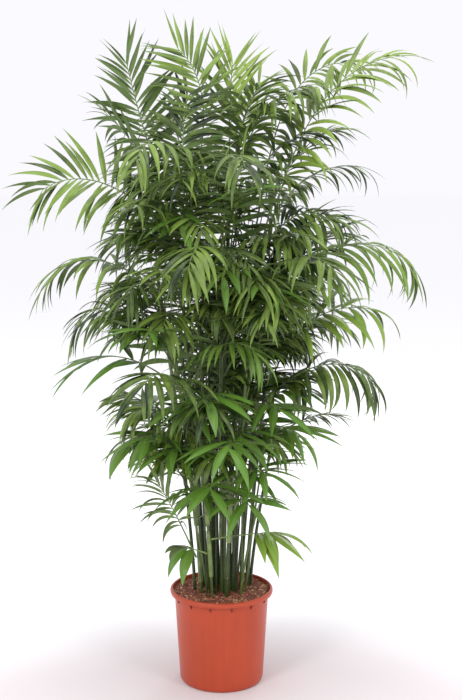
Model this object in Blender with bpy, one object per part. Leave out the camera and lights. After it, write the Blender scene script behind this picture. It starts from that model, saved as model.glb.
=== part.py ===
"""Potted bamboo palm: a clump of slender canes with feather fronds, in a round nursery pot.

Units are metres, +Z is up and the origin is the centre of the pot's underside.
The pot is turned, the soil fills it to just below the rim, every cane stands in a
socket in the soil, and every frond clasps its cane with a short tubular sheath.
"""

import math
from collections import namedtuple

import bmesh
import bpy
import numpy as np
from mathutils import Vector
from mathutils.bvhtree import BVHTree

# Fit
GAP = 0.0003                # between a piece and the neighbour it touches

# Pot
POT_HEIGHT = 0.250
RIM_RADIUS = 0.135
BEAD_HEIGHT = 0.014         # rolled band around the mouth
MOUTH_RADIUS = 0.1275
BODY_TOP_RADIUS = 0.1225
BASE_RADIUS = 0.109
WALL = 0.0022
SHOULDER_HEIGHT = 0.229     # where the wall steps out under the band
FLOOR_HEIGHT = 0.004        # the raised underside between the foot and the pad
FLOOR_THICKNESS = 0.0025
FOOT_WIDTH = 0.009
PAD_RADIUS = 0.018          # flat pad in the middle of the underside
RIB_COUNT = 14
RIB_THICKNESS = 0.003
RIB_HEIGHT = 0.014
RIB_REACH = 0.006
HOLE_COUNT = 6
HOLE_RADIUS = 0.006
HOLE_CIRCLE = 0.060
POT_SIDES = 42

# Soil
SOIL_TOP = 0.243
SOIL_MOUND = 0.002          # how much the middle stands above the edge
SOIL_OVERLAP = 0.0006       # clearance of the soil from the ledge under the band that it covers
CANE_DEPTH = 0.045          # how deep a cane stands in the soil

# Canes
CANE_BASE_RADIUS = 0.0050
CANE_TOP_RADIUS = 0.0034
CANE_BOW = 1.3              # above 1, a cane leaves the soil upright and leans out higher up
CANE_SIDES = 6
CANE_RINGS = 5

# Fronds
SHEATH_HEIGHT = 0.036
SHEATH_WALL = 0.0016
PETIOLE_RADIUS = 0.0026
RACHIS_TIP_RADIUS = 0.0011
BLADE_THICKNESS = 0.0012
SPLAY_BASE = 80             # degrees between a leaflet and the rachis, at the blade's base
SPLAY_TIP = 22              # and at its tip
PETIOLE_STEPS = 3
SPINE_STATIONS = 201
YOUNG_WIDTH = 0.024         # fronds with leaflets this wide or wider are young and paler
HEADING_CHANGES = (0, 4, -4, 8, -8, 12, -12, 18, -18, 25, -25)
# Ways to turn (degrees) and shorten a leaflet that would touch a neighbour
LEAFLET_CHANGES = ((0, 1.0), (10, 1.0), (-10, 1.0), (18, 0.85), (-18, 0.85), (0, 0.6), (10, 0.4))

Cane = namedtuple("Cane", "foot_x foot_y top_x top_y top_z")
CANES = (
    Cane(-0.070, 0.000, -0.165, 0.030, 1.08),
    Cane(-0.052, -0.030, -0.120, -0.080, 0.92),
    Cane(-0.045, 0.030, -0.125, 0.090, 1.24),
    Cane(-0.026, 0.002, -0.080, 0.010, 1.32),
    Cane(-0.024, -0.050, -0.060, -0.130, 0.74),
    Cane(-0.014, 0.056, -0.040, 0.150, 1.18),
    Cane(0.000, -0.024, 0.000, -0.060, 1.16),
    Cane(0.004, 0.024, 0.020, 0.060, 1.28),
    Cane(0.014, -0.058, 0.030, -0.140, 0.62),
    Cane(0.028, -0.008, 0.090, -0.020, 1.14),
    Cane(0.032, 0.050, 0.082, 0.135, 1.20),
    Cane(0.052, 0.016, 0.110, 0.030, 0.90),
    Cane(0.050, -0.036, 0.095, -0.100, 0.50),
    Cane(0.076, 0.036, 0.145, 0.070, 0.68),
    Cane(0.066, 0.066, 0.120, 0.160, 0.76),
    Cane(0.006, 0.084, 0.010, 0.210, 0.94),
    Cane(-0.050, 0.066, -0.110, 0.180, 0.86),
)

# One row for each frond. cane counts from 1; height is where the petiole leaves it.
# heading is the way it grows, seen from above, from +X towards +Y; rise and tip are the
# slopes at its foot and at its end, all in degrees. length is petiole and blade together,
# petiole the share of it without leaflets. leaf and width are a leaflet's size, vee lifts
# the leaflets above the rachis, hang is how far their ends give way to gravity, roll turns
# the blade about its rachis, stiff says how late the bend comes and spread how wide the
# leaflets open.
Frond = namedtuple(
    "Frond",
    "cane height heading rise tip length petiole pairs leaf width vee hang roll stiff spread",
    defaults=(0, 2.0, 1.0),
)
FRONDS = (
    # Outline, seen from the front
    Frond(3, 1.215, 180, 72, 78, 0.41, 0.34, 10, 0.150, 0.016, 12, 0.35, 75),
    Frond(4, 1.27, 0, 79, 140, 0.38, 0.46, 9, 0.140, 0.014, 12, 0.30, -70, 2.6),
    Frond(8, 1.25, 0, 92, 84, 0.35, 0.52, 6, 0.145, 0.014, 0, 0.30, 80, 2.0, 0.7),
    Frond(10, 1.05, 2, 76, 4, 0.70, 0.36, 10, 0.165, 0.018, 5, 0.90, 30, 3.0),
    Frond(11, 1.15, 6, 80, -30, 0.60, 0.42, 10, 0.130, 0.015, 20, 1.40, 45, 3.6),
    Frond(8, 1.20, 330, 82, 5, 0.44, 0.35, 9, 0.160, 0.017, 10, 1.50),
    Frond(10, 1.11, 352, 62, -25, 0.23, 0.28, 8, 0.165, 0.017, 5, 1.60, 20),
    Frond(10, 0.755, 2, 80, -50, 0.68, 0.38, 10, 0.185, 0.021, 5, 1.30, 18),
    Frond(12, 0.85, 352, 46, -14, 0.32, 0.36, 6, 0.170, 0.025, 5, 1.40, 15),
    Frond(12, 0.72, 352, 48, -58, 0.355, 0.28, 8, 0.165, 0.020, 5, 1.50, 15),
    Frond(14, 0.64, 350, 36, -12, 0.18, 0.40, 5, 0.090, 0.011, 5, 0.50),
    Frond(3, 1.16, 178, 47, -38, 0.40, 0.18, 10, 0.165, 0.017, 20, 0.60, -60, 2.0, 1.25),
    Frond(1, 1.03, 178, 36, -58, 0.31, 0.15, 8, 0.160, 0.019, 10, 1.00),
    Frond(2, 0.88, 178, 54, -62, 0.30, 0.18, 8, 0.150, 0.015, 0, 0.80, -15),
    Frond(2, 0.80, 180, 36, -30, 0.25, 0.34, 5, 0.190, 0.026, 5, 0.60),
    Frond(1, 0.635, 178, 58, 12, 0.19, 0.45, 5, 0.135, 0.020, 0, 0.70),
    Frond(1, 0.585, 184, 48, -40, 0.17, 0.40, 4, 0.160, 0.026, 0, 1.10),
    Frond(2, 0.34, 178, 66, 58, 0.23, 0.40, 7, 0.120, 0.013, 0, 0.90, 50),
    Frond(5, 0.36, 195, 25, 5, 0.06, 0.50, 2, 0.125, 0.030, 0, 1.30),
    Frond(5, 0.40, 342, 14, 6, 0.165, 0.74, 4, 0.160, 0.028, 0, 1.00),
    # Towards the front
    Frond(7, 0.70, 262, 45, -20, 0.26, 0.40, 4, 0.165, 0.028, 0, 0.80),
    Frond(5, 0.50, 275, 45, -20, 0.22, 0.40, 4, 0.160, 0.028, 0, 0.90),
    Frond(7, 1.12, 280, 70, -40, 0.46, 0.25, 7, 0.150, 0.018, 10, 0.90),
    Frond(4, 1.18, 250, 64, -50, 0.46, 0.22, 7, 0.150, 0.018, 10, 0.90),
    Frond(10, 0.92, 305, 62, -50, 0.46, 0.25, 7, 0.150, 0.018, 10, 0.90),
    Frond(5, 0.70, 242, 62, -40, 0.34, 0.30, 6, 0.150, 0.020, 5, 0.80),
    Frond(7, 0.94, 258, 66, -55, 0.46, 0.25, 7, 0.150, 0.018, 10, 0.90),
    Frond(9, 0.58, 268, 58, -30, 0.26, 0.30, 5, 0.155, 0.026, 5, 0.90),
    Frond(9, 0.46, 290, 56, -30, 0.17, 0.35, 4, 0.140, 0.026, 5, 0.90),
    # Towards the back
    Frond(6, 1.15, 95, 70, -35, 0.42, 0.25, 7, 0.150, 0.018, 10, 0.90),
    Frond(16, 0.92, 80, 66, -45, 0.38, 0.25, 7, 0.150, 0.018, 10, 0.90),
    Frond(11, 0.84, 40, 60, -45, 0.42, 0.28, 6, 0.150, 0.018, 10, 0.90),
    Frond(17, 0.84, 136, 60, -50, 0.38, 0.25, 7, 0.150, 0.018, 10, 0.90),
    Frond(15, 0.74, 50, 56, -40, 0.40, 0.30, 6, 0.150, 0.018, 5, 0.90),
    Frond(6, 0.96, 122, 62, -45, 0.44, 0.25, 6, 0.150, 0.018, 10, 0.90),
    Frond(16, 0.70, 105, 55, -40, 0.34, 0.30, 6, 0.150, 0.020, 5, 0.80),
    Frond(8, 1.05, 65, 66, -40, 0.46, 0.25, 7, 0.150, 0.018, 10, 0.90),
    Frond(17, 0.60, 148, 50, -30, 0.26, 0.30, 5, 0.140, 0.024, 5, 0.80),
    Frond(3, 0.98, 130, 62, -50, 0.38, 0.25, 6, 0.150, 0.018, 10, 0.90),
    Frond(15, 0.52, 95, 56, -25, 0.18, 0.35, 5, 0.130, 0.024, 5, 0.80),
    Frond(11, 0.62, 75, 55, -35, 0.34, 0.30, 5, 0.150, 0.020, 5, 0.80),
)


# ---------------------------------------------------------------- scene helpers

def clear_scene():
    for old in list(bpy.data.objects):
        bpy.data.objects.remove(old, do_unlink=True)


def plain_material(name, colour, roughness):
    material = bpy.data.materials.new(name)
    material.use_nodes = True
    shader = material.node_tree.nodes["Principled BSDF"]
    shader.inputs["Base Color"].default_value = (*colour, 1.0)
    shader.inputs["Roughness"].default_value = roughness
    shader.inputs["Metallic"].default_value = 0.0
    return material


def add_object(name, bm, material=None):
    mesh = bpy.data.meshes.new(name)
    bm.to_mesh(mesh)
    bm.free()
    piece = bpy.data.objects.new(name, mesh)
    bpy.context.scene.collection.objects.link(piece)
    if material:
        mesh.materials.append(material)
        mesh.shade_smooth()
        mesh.set_sharp_from_angle(angle=math.radians(35))
    return piece


def add_boolean(piece, operand, operation):
    """Cut or join with a hidden guide, which isn't part of the object."""
    operand.hide_render = True
    operand.display_type = "WIRE"
    modifier = piece.modifiers.new(operand.name, "BOOLEAN")
    modifier.operation = operation
    modifier.solver = "EXACT"
    modifier.object = operand


def add_turned(bm, profile, sides):
    """A closed turned solid from (radius, height) points that start and end on the axis."""
    rings = []
    for radius, height in profile:
        if radius == 0.0:
            rings.append([bm.verts.new((0.0, 0.0, height))])
            continue
        turns = [2 * math.pi * k / sides for k in range(sides)]
        rings.append([bm.verts.new((radius * math.sin(a), -radius * math.cos(a), height)) for a in turns])
    for lower, upper in zip(rings, rings[1:]):
        for k in range(sides):
            after = (k + 1) % sides
            corners = [lower[k % len(lower)], lower[after % len(lower)],
                       upper[after % len(upper)], upper[k % len(upper)]]
            bm.faces.new(list(dict.fromkeys(corners)))
    bmesh.ops.recalc_face_normals(bm, faces=bm.faces)


# ---------------------------------------------------------------- pot and soil

def wall_radius(height):
    """Outer radius of the pot's tapered wall."""
    return BASE_RADIUS + (BODY_TOP_RADIUS - BASE_RADIUS) * height / SHOULDER_HEIGHT


def pot_profile():
    """Out along the underside, up the outside, over the band and down the inside."""
    foot = BASE_RADIUS - 0.006
    band_bottom = POT_HEIGHT - BEAD_HEIGHT
    inside = BODY_TOP_RADIUS - WALL
    return (
        (0.0, 0.0),
        (PAD_RADIUS, 0.0),
        (PAD_RADIUS + 0.002, FLOOR_HEIGHT),
        (foot - FOOT_WIDTH - 0.002, FLOOR_HEIGHT),
        (foot - FOOT_WIDTH, 0.0),
        (foot, 0.0),
        (BASE_RADIUS - 0.0015, 0.004),
        (wall_radius(0.012), 0.012),
        (BODY_TOP_RADIUS, SHOULDER_HEIGHT),
        (BODY_TOP_RADIUS + 0.0005, band_bottom),
        (RIM_RADIUS - 0.0025, band_bottom),
        (RIM_RADIUS, band_bottom + 0.003),
        (RIM_RADIUS, POT_HEIGHT - 0.003),
        (RIM_RADIUS - 0.0025, POT_HEIGHT),
        (MOUTH_RADIUS + 0.001, POT_HEIGHT),
        (MOUTH_RADIUS, POT_HEIGHT - 0.001),
        (MOUTH_RADIUS, band_bottom + WALL + 0.0015),
        (inside + 0.0005, band_bottom + WALL),
        (BASE_RADIUS - WALL, FLOOR_HEIGHT + FLOOR_THICKNESS + 0.003),
        (BASE_RADIUS - WALL - 0.003, FLOOR_HEIGHT + FLOOR_THICKNESS),
        (0.0, FLOOR_HEIGHT + FLOOR_THICKNESS),
    )


def build_pot(material):
    bm = bmesh.new()
    add_turned(bm, pot_profile(), POT_SIDES)
    pot = add_object("pot", bm, material)
    add_boolean(pot, build_ribs(), "UNION")
    add_boolean(pot, build_drain_cutter(), "DIFFERENCE")
    return pot


def build_ribs():
    """Small gussets under the band, thick at the top and running out down the wall."""
    bm = bmesh.new()
    top = POT_HEIGHT - BEAD_HEIGHT + 0.001
    bottom = top - RIB_HEIGHT
    buried = 0.0008
    side_view = (
        (wall_radius(bottom) - buried, bottom),
        (wall_radius(bottom) + 0.001, bottom),
        (BODY_TOP_RADIUS + RIB_REACH, top),
        (BODY_TOP_RADIUS - buried, top),
    )
    for k in range(RIB_COUNT):
        angle = 2 * math.pi * (k + 0.5) / RIB_COUNT
        out = Vector((math.sin(angle), -math.cos(angle), 0.0))
        across = Vector((math.cos(angle), math.sin(angle), 0.0)) * RIB_THICKNESS / 2
        sides = []
        for offset in (-across, across):
            sides.append([bm.verts.new(out * r + offset + Vector((0.0, 0.0, z))) for r, z in side_view])
        bm.faces.new(sides[0])
        bm.faces.new(reversed(sides[1]))
        for a in range(4):
            b = (a + 1) % 4
            bm.faces.new((sides[0][b], sides[0][a], sides[1][a], sides[1][b]))
    bmesh.ops.recalc_face_normals(bm, faces=bm.faces)
    return add_object("rib_guide", bm)


def add_post(bm, centres, radii, heights, sides):
    """A closed post through horizontal rings."""
    rings = []
    for (x, y), radius, height in zip(centres, radii, heights):
        turns = [2 * math.pi * k / sides for k in range(sides)]
        corners = [(x + radius * math.cos(a), y + radius * math.sin(a), height) for a in turns]
        rings.append([bm.verts.new(corner) for corner in corners])
    bm.faces.new(reversed(rings[0]))
    bm.faces.new(rings[-1])
    for lower, upper in zip(rings, rings[1:]):
        for k in range(sides):
            after = (k + 1) % sides
            bm.faces.new((lower[k], lower[after], upper[after], upper[k]))


def build_drain_cutter():
    bm = bmesh.new()
    for k in range(HOLE_COUNT):
        angle = 2 * math.pi * k / HOLE_COUNT
        centre = (HOLE_CIRCLE * math.cos(angle), HOLE_CIRCLE * math.sin(angle))
        add_post(bm, [centre] * 2, [HOLE_RADIUS] * 2, [-0.002, 0.010], 8)
    return add_object("drain_guide", bm)


def build_soil(material):
    bottom = FLOOR_HEIGHT + FLOOR_THICKNESS + GAP
    low_radius = BASE_RADIUS - WALL - 0.0036
    neck_radius = BODY_TOP_RADIUS - WALL - SOIL_OVERLAP
    ledge = POT_HEIGHT - BEAD_HEIGHT + WALL + SOIL_OVERLAP
    brim_radius = MOUTH_RADIUS - SOIL_OVERLAP
    profile = (
        (0.0, bottom),
        (low_radius, bottom),
        (wall_radius(0.020) - WALL - 2 * SOIL_OVERLAP, 0.020),
        (neck_radius - SOIL_OVERLAP, ledge),
        (brim_radius, ledge + 0.0018),
        (brim_radius * 0.55, SOIL_TOP - SOIL_MOUND / 3),
        (0.0, SOIL_TOP),
    )
    bm = bmesh.new()
    add_turned(bm, profile, POT_SIDES)
    soil = add_object("soil", bm, material)
    sockets = bmesh.new()
    for cane in CANES:
        low = SOIL_TOP - CANE_DEPTH - 2 * GAP
        high = SOIL_TOP + 0.010
        centres = [cane_centre(cane, low), cane_centre(cane, high)]
        radii = [cane_radius(cane, low) + 2 * GAP, cane_radius(cane, high) + 2 * GAP]
        add_post(sockets, [c[:2] for c in centres], radii, [low, high], CANE_SIDES)
    add_boolean(soil, add_object("socket_guide", sockets), "DIFFERENCE")
    return soil


# ---------------------------------------------------------------- canes

def cane_heights(cane):
    """Heights of a cane's rings: its foot, a ring just above the soil, and even steps up."""
    above = SOIL_TOP + 0.020
    steps = np.linspace(above, cane.top_z, CANE_RINGS)
    return np.concatenate([[SOIL_TOP - CANE_DEPTH], steps])


def bowed_offset(cane, height):
    climb = max(0.0, (height - SOIL_TOP - 0.020) / (cane.top_z - SOIL_TOP - 0.020))
    return climb ** CANE_BOW


def cane_centre(cane, height):
    """Centre of a cane at a height, on the straight runs between its rings."""
    heights = cane_heights(cane)
    lean = [bowed_offset(cane, h) for h in heights]
    share = float(np.interp(height, heights, lean))
    return Vector((
        cane.foot_x + (cane.top_x - cane.foot_x) * share,
        cane.foot_y + (cane.top_y - cane.foot_y) * share,
        height,
    ))


def cane_radius(cane, height):
    heights = cane_heights(cane)
    return float(np.interp(height, (heights[0], heights[-1]), (CANE_BASE_RADIUS, CANE_TOP_RADIUS)))


def build_cane(number, cane, material):
    heights = cane_heights(cane)
    centres = [cane_centre(cane, h)[:2] for h in heights]
    radii = [cane_radius(cane, h) for h in heights]
    bm = bmesh.new()
    add_post(bm, centres, radii, heights, CANE_SIDES)
    return add_object(f"cane_{number:02d}", bm, material)


# ---------------------------------------------------------------- fronds

Station = namedtuple("Station", "point along side up")


def frond_spine(frond):
    """Evenly spaced stations from the cane along the petiole and the rachis to the tip."""
    stations = []
    last = SPINE_STATIONS - 1
    turn = math.radians(frond.heading)
    cane = CANES[frond.cane - 1]
    standoff = cane_radius(cane, frond.height) + SHEATH_WALL + 2 * PETIOLE_RADIUS
    heading = Vector((math.cos(turn), math.sin(turn), 0.0))
    point = cane_centre(cane, frond.height) + heading * standoff
    step = frond.length / last
    previous = None
    for k in range(SPINE_STATIONS):
        share = k / last
        slope = math.radians(frond.rise + (frond.tip - frond.rise) * share ** frond.stiff)
        along = Vector((math.cos(slope) * math.cos(turn), math.cos(slope) * math.sin(turn), math.sin(slope)))
        if previous is not None:
            point = point + (along + previous) * step / 2
        previous = along
        side = Vector((-math.sin(turn), math.cos(turn), 0.0))
        up = along.cross(side)
        roll = math.radians(frond.roll)
        rolled = side * math.cos(roll) + up * math.sin(roll)
        stations.append(Station(point, along, rolled, along.cross(rolled)))
    return stations


def leaflet_reach(frond, share):
    """Leaflets are longest a third of the way along the blade and shorter at its end."""
    return frond.leaf * (0.62 + 0.38 * math.sin(math.pi * min(1.0, 0.2 + 0.62 * share)))


def leaflet_path(frond, station, share, hand, splay_change=0.0):
    """Root, middle and end of a leaflet, and the way it faces."""
    splay = (SPLAY_BASE + (SPLAY_TIP - SPLAY_BASE) * share ** 0.8) * frond.spread
    splay = math.radians(splay + splay_change)
    vee = math.radians(frond.vee)
    out = station.side * hand * math.cos(vee) + station.up * math.sin(vee)
    aim = station.along * math.cos(splay) + out * math.sin(splay)
    reach = leaflet_reach(frond, share)
    middle_aim = (aim + Vector((0.0, 0.0, -0.20 * frond.hang))).normalized()
    end_aim = (aim + Vector((0.0, 0.0, -0.75 * frond.hang))).normalized()
    middle = station.point + middle_aim * reach * 0.5
    end = middle + end_aim * reach * 0.5
    edge = (station.along - middle_aim * station.along.dot(middle_aim)).normalized()
    return middle, end, edge, edge.cross(middle_aim) * hand


def corner_signs(face, across, over):
    """For each corner of a face, which side of its centre it lies on, both ways."""
    centre = face.calc_center_median()
    signs = []
    for vert in face.verts:
        offset = vert.co - centre
        signs.append((1 if offset.dot(across) > 0 else -1, 1 if offset.dot(over) > 0 else -1))
    return signs


def extrude_to(bm, face, centre, across, over, base_across, base_over):
    """Extrude a four-cornered face and move its new corners to a rectangle."""
    signs = corner_signs(face, base_across, base_over)
    spots = {tuple(v.co): s for v, s in zip(face.verts, signs)}
    cap = bmesh.ops.extrude_discrete_faces(bm, faces=[face])["faces"][0]
    for vert in cap.verts:
        a, b = spots[tuple(vert.co)]
        vert.co = centre + across * a + over * b
    return cap


def add_sheath(bm, frond):
    """A short tube around the cane; returns the outer face that looks along the heading."""
    cane = CANES[frond.cane - 1]
    heights = (frond.height - SHEATH_HEIGHT / 2, frond.height + SHEATH_HEIGHT / 2)
    rings = {}
    for key, thickness in (("inner", 2 * GAP), ("outer", 2 * GAP + SHEATH_WALL)):
        for level, height in enumerate(heights):
            centre = cane_centre(cane, height)
            radius = cane_radius(cane, height) + thickness
            rings[key, level] = [
                bm.verts.new((centre.x + radius * math.cos(2 * math.pi * k / CANE_SIDES),
                              centre.y + radius * math.sin(2 * math.pi * k / CANE_SIDES), height))
                for k in range(CANE_SIDES)
            ]
    outer_faces = []
    for k in range(CANE_SIDES):
        after = (k + 1) % CANE_SIDES
        low_in, high_in = rings["inner", 0], rings["inner", 1]
        low_out, high_out = rings["outer", 0], rings["outer", 1]
        outer_faces.append(bm.faces.new((low_out[k], low_out[after], high_out[after], high_out[k])))
        bm.faces.new((low_in[after], low_in[k], high_in[k], high_in[after]))
        bm.faces.new((high_out[k], high_out[after], high_in[after], high_in[k]))
        bm.faces.new((low_out[after], low_out[k], low_in[k], low_in[after]))
    turn = math.radians(frond.heading)
    heading = Vector((math.cos(turn), math.sin(turn), 0.0))
    bm.normal_update()
    return max(outer_faces, key=lambda face: face.normal.dot(heading))


def rachis_radius(share):
    return PETIOLE_RADIUS + (RACHIS_TIP_RADIUS - PETIOLE_RADIUS) * share


def build_stalk(frond):
    """Sheath, petiole and rachis; returns the mesh and, for each leaflet, its face and place."""
    bm = bmesh.new()
    face = add_sheath(bm, frond)
    leaflets = frond.pairs * 2
    fine = frond_spine(frond)
    shares = [frond.petiole * k / PETIOLE_STEPS for k in range(1, PETIOLE_STEPS + 1)]
    shares += [frond.petiole + (1 - frond.petiole) * (k + 1) / leaflets for k in range(leaflets)]
    turn = math.radians(frond.heading)
    across = Vector((-math.sin(turn), math.cos(turn), 0.0))
    over = Vector((0.0, 0.0, 1.0))
    places = []
    before = 0.0
    for k, share in enumerate(shares):
        station = fine[round(share * (SPINE_STATIONS - 1))]
        radius = rachis_radius(share)
        known = set(bm.faces)
        face = extrude_to(bm, face, station.point, station.side * radius, station.up * radius, across, over)
        if k >= PETIOLE_STEPS:
            index = k - PETIOLE_STEPS
            hand = 1 if index % 2 else -1
            middle = fine[round((share + before) / 2 * (SPINE_STATIONS - 1))]
            bm.normal_update()
            sides = [f for f in set(bm.faces) - known if f is not face]
            root = max(sides, key=lambda f: f.normal.dot(middle.side * hand))
            places.append((root, middle, (index + 0.5) / leaflets, hand))
        across, over = station.side, station.up
        before = share
    return bm, places


CORNERS = ((-1, -1), (1, -1), (1, 1), (-1, 1))


def leaflet_solid(root, station, middle, end, half_width, half_thickness, margin):
    """Corners and faces of a leaflet with a margin around it, for testing that it is clear."""
    signs = corner_signs(root, station.along, station.up)
    at_root = {sign: vert.co for vert, sign in zip(root.verts, signs)}
    points = [at_root[a, b] + (station.along * a + station.up * b) * margin for a, b in CORNERS]
    wide = half_width * (1 + margin / half_width.length)
    thick = half_thickness * (1 + margin / half_thickness.length)
    points += [middle + wide * a + thick * b for a, b in CORNERS]
    points.append(end + (end - middle).normalized() * margin)
    faces = [(a, (a + 1) % 4, 4 + (a + 1) % 4, 4 + a) for a in range(4)]
    faces += [(4 + a, 4 + (a + 1) % 4, 8) for a in range(4)]
    return points, faces


class Clearance:
    """Everything built so far, for keeping new pieces clear of it."""

    def __init__(self):
        self.trees = []

    def add(self, points, faces):
        low = Vector([min(p[i] for p in points) for i in range(3)])
        high = Vector([max(p[i] for p in points) for i in range(3)])
        self.trees.append((low, high, BVHTree.FromPolygons(points, faces)))

    def add_mesh(self, bm):
        bm.verts.index_update()
        self.add([v.co.copy() for v in bm.verts], [[v.index for v in f.verts] for f in bm.faces])

    def is_clear(self, points, faces):
        low = Vector([min(p[i] for p in points) for i in range(3)])
        high = Vector([max(p[i] for p in points) for i in range(3)])
        tree = None
        for other_low, other_high, other in self.trees:
            if any(high[i] < other_low[i] or other_high[i] < low[i] for i in range(3)):
                continue
            tree = tree or BVHTree.FromPolygons(points, faces)
            if tree.overlap(other):
                return False
        return True


def add_leaflet(bm, root, station, share, hand, frond, clearance, own):
    """Grow a leaflet from a face of the rachis, turned or shortened where it would touch."""
    width = frond.width * (0.75 + 0.25 * math.sin(math.pi * share))
    for splay_change, shorten in LEAFLET_CHANGES:
        middle, end, edge, face_up = leaflet_path(frond, station, share, hand, splay_change)
        middle = station.point + (middle - station.point) * shorten
        end = station.point + (end - station.point) * shorten
        half_width = edge * width / 2
        half_thickness = face_up * BLADE_THICKNESS / 2
        points, faces = leaflet_solid(root, station, middle, end, half_width, half_thickness, 3 * GAP)
        if clearance.is_clear(points, faces) and own.is_clear(points, faces):
            own.add(points, faces)
            cap = extrude_to(bm, root, middle, half_width, half_thickness, station.along, station.up)
            tip = bmesh.ops.poke(bm, faces=[cap])["verts"][0]
            tip.co = end
            return


def stalk_is_clear(bm, clearance):
    """The stalk with a margin; its own sheath is allowed around its own cane."""
    shell = bm.copy()
    shell.normal_update()
    for vert in shell.verts:
        vert.co += vert.normal * GAP
    shell.verts.index_update()
    points = [v.co.copy() for v in shell.verts]
    faces = [[v.index for v in f.verts] for f in shell.faces]
    shell.free()
    return clearance.is_clear(points, faces)


def build_frond(number, frond, material, clearance):
    """Grow a frond, turned a little about its cane where its stalk would touch another."""
    for change in HEADING_CHANGES:
        turned = frond._replace(heading=frond.heading + change)
        bm, places = build_stalk(turned)
        if stalk_is_clear(bm, clearance):
            break
        bm.free()
    else:
        raise RuntimeError(f"frond {number} has no room")
    own = Clearance()
    for root, station, share, hand in places:
        add_leaflet(bm, root, station, share, hand, turned, clearance, own)
    clearance.add_mesh(bm)
    return add_object(f"frond_{number:02d}", bm, material)


def main():
    clear_scene()
    terracotta = plain_material("terracotta_plastic", (0.55, 0.09, 0.045), 0.45)
    bark = plain_material("bark_mix", (0.10, 0.055, 0.035), 0.95)
    cane_green = plain_material("cane_green", (0.04, 0.09, 0.025), 0.5)
    leaf_green = plain_material("leaf_green", (0.06, 0.17, 0.03), 0.4)
    young_green = plain_material("young_leaf_green", (0.16, 0.32, 0.05), 0.4)
    build_pot(terracotta)
    build_soil(bark)
    clearance = Clearance()
    pot_guard = bmesh.new()
    add_turned(pot_guard, pot_profile(), POT_SIDES)
    clearance.add_mesh(pot_guard)
    pot_guard.free()
    for number, cane in enumerate(CANES, 1):
        piece = build_cane(number, cane, cane_green)
        points = [v.co.copy() for v in piece.data.vertices]
        clearance.add(points, [list(f.vertices) for f in piece.data.polygons])
    for number, frond in enumerate(FRONDS, 1):
        young = frond.width >= YOUNG_WIDTH
        build_frond(number, frond, young_green if young else leaf_green, clearance)


main()
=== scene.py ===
import math
import random
from collections import namedtuple

import bmesh
import bpy
from bpy.props import FloatProperty, FloatVectorProperty, IntProperty, PointerProperty
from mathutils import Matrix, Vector, noise


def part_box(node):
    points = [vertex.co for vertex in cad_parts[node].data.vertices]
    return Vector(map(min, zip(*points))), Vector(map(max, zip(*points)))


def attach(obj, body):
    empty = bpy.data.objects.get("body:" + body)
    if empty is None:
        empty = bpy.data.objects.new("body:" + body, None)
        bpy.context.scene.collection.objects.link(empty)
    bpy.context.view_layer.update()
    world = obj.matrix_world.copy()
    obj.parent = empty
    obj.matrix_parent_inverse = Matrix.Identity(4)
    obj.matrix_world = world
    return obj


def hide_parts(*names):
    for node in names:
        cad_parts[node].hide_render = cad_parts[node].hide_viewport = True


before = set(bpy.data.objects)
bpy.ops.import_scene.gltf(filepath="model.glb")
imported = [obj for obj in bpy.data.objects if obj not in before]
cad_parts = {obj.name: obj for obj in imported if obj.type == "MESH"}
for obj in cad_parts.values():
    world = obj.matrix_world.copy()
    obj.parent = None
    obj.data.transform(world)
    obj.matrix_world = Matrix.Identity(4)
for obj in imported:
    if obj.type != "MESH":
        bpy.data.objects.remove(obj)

bl_info = {
    "name": "Potted Bamboo Palm",
    "version": (1, 0, 0),
    "blender": (4, 5, 0),
    "location": "View3D > Sidebar > Palm",
    "description": "Builds the visible pot, soil, canes and fronds of a potted palm",
    "category": "Object",
}

# Sizes that come from the solid model, in metres
POT_LOW, POT_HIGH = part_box("pot")
POT_HEIGHT = POT_HIGH.z
RIM_RADIUS = (POT_HIGH.x - POT_LOW.x) / 2
SOIL_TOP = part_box("soil")[1].z

# Pot, as the solid pot has it
BAND_HEIGHT = 0.014
MOUTH_RADIUS = 0.1275
BODY_TOP_RADIUS = 0.1225
BASE_RADIUS = 0.109
WALL = 0.0022
SHOULDER_HEIGHT = 0.229
FLOOR_HEIGHT = 0.004
FLOOR_THICKNESS = 0.0025
FOOT_WIDTH = 0.009
PAD_RADIUS = 0.018
HOLE_COUNT = 6
HOLE_RADIUS = 0.006
HOLE_CIRCLE = 0.060

# Visible pot and soil
POT_SIDES = 168
POT_ROUNDING = 0.0015       # of the pot's edges
RIB_OVERLAP = 0.0005        # the ribs go this far into the wall and the band
SOIL_SIDES = 96
SOIL_RINGS = 34
SOIL_LEVEL = SOIL_TOP - 0.0012      # of the mix between the chips that lie on it

# Canes and fronds, as the solid ones grow
CANE_BASE_RADIUS = 0.0050
CANE_TOP_RADIUS = 0.0034
CANE_BOW = 1.3              # power of the height share by which a cane leans out
SHEATH_LENGTH = 0.085
PETIOLE_RADIUS = 0.0026
RACHIS_TIP_RADIUS = 0.0008
SPINE_STATIONS = 201
YOUNG_WIDTH = 0.024         # leaflets at least this wide are young and broad

# Visible canes and fronds
CANE_STEP = 0.03            # between the points of a cane's line
CANE_HIDDEN = 0.03          # a cane's visible line starts this far under the soil
SHOOT_STEPS = 15            # lengths that make up a thin shoot
BAND_OF_FRONDS = 12         # inner fronds joined in one piece
FROND_SHARP = math.radians(24)      # edges of leaflets and stalks that bend more stay sharp

# Steps of these shares of one, or of this many degrees, spread evenly and never repeat
GOLDEN = 0.618
GOLDEN_REST = 0.382
GOLDEN_TURN = 137.5

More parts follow.
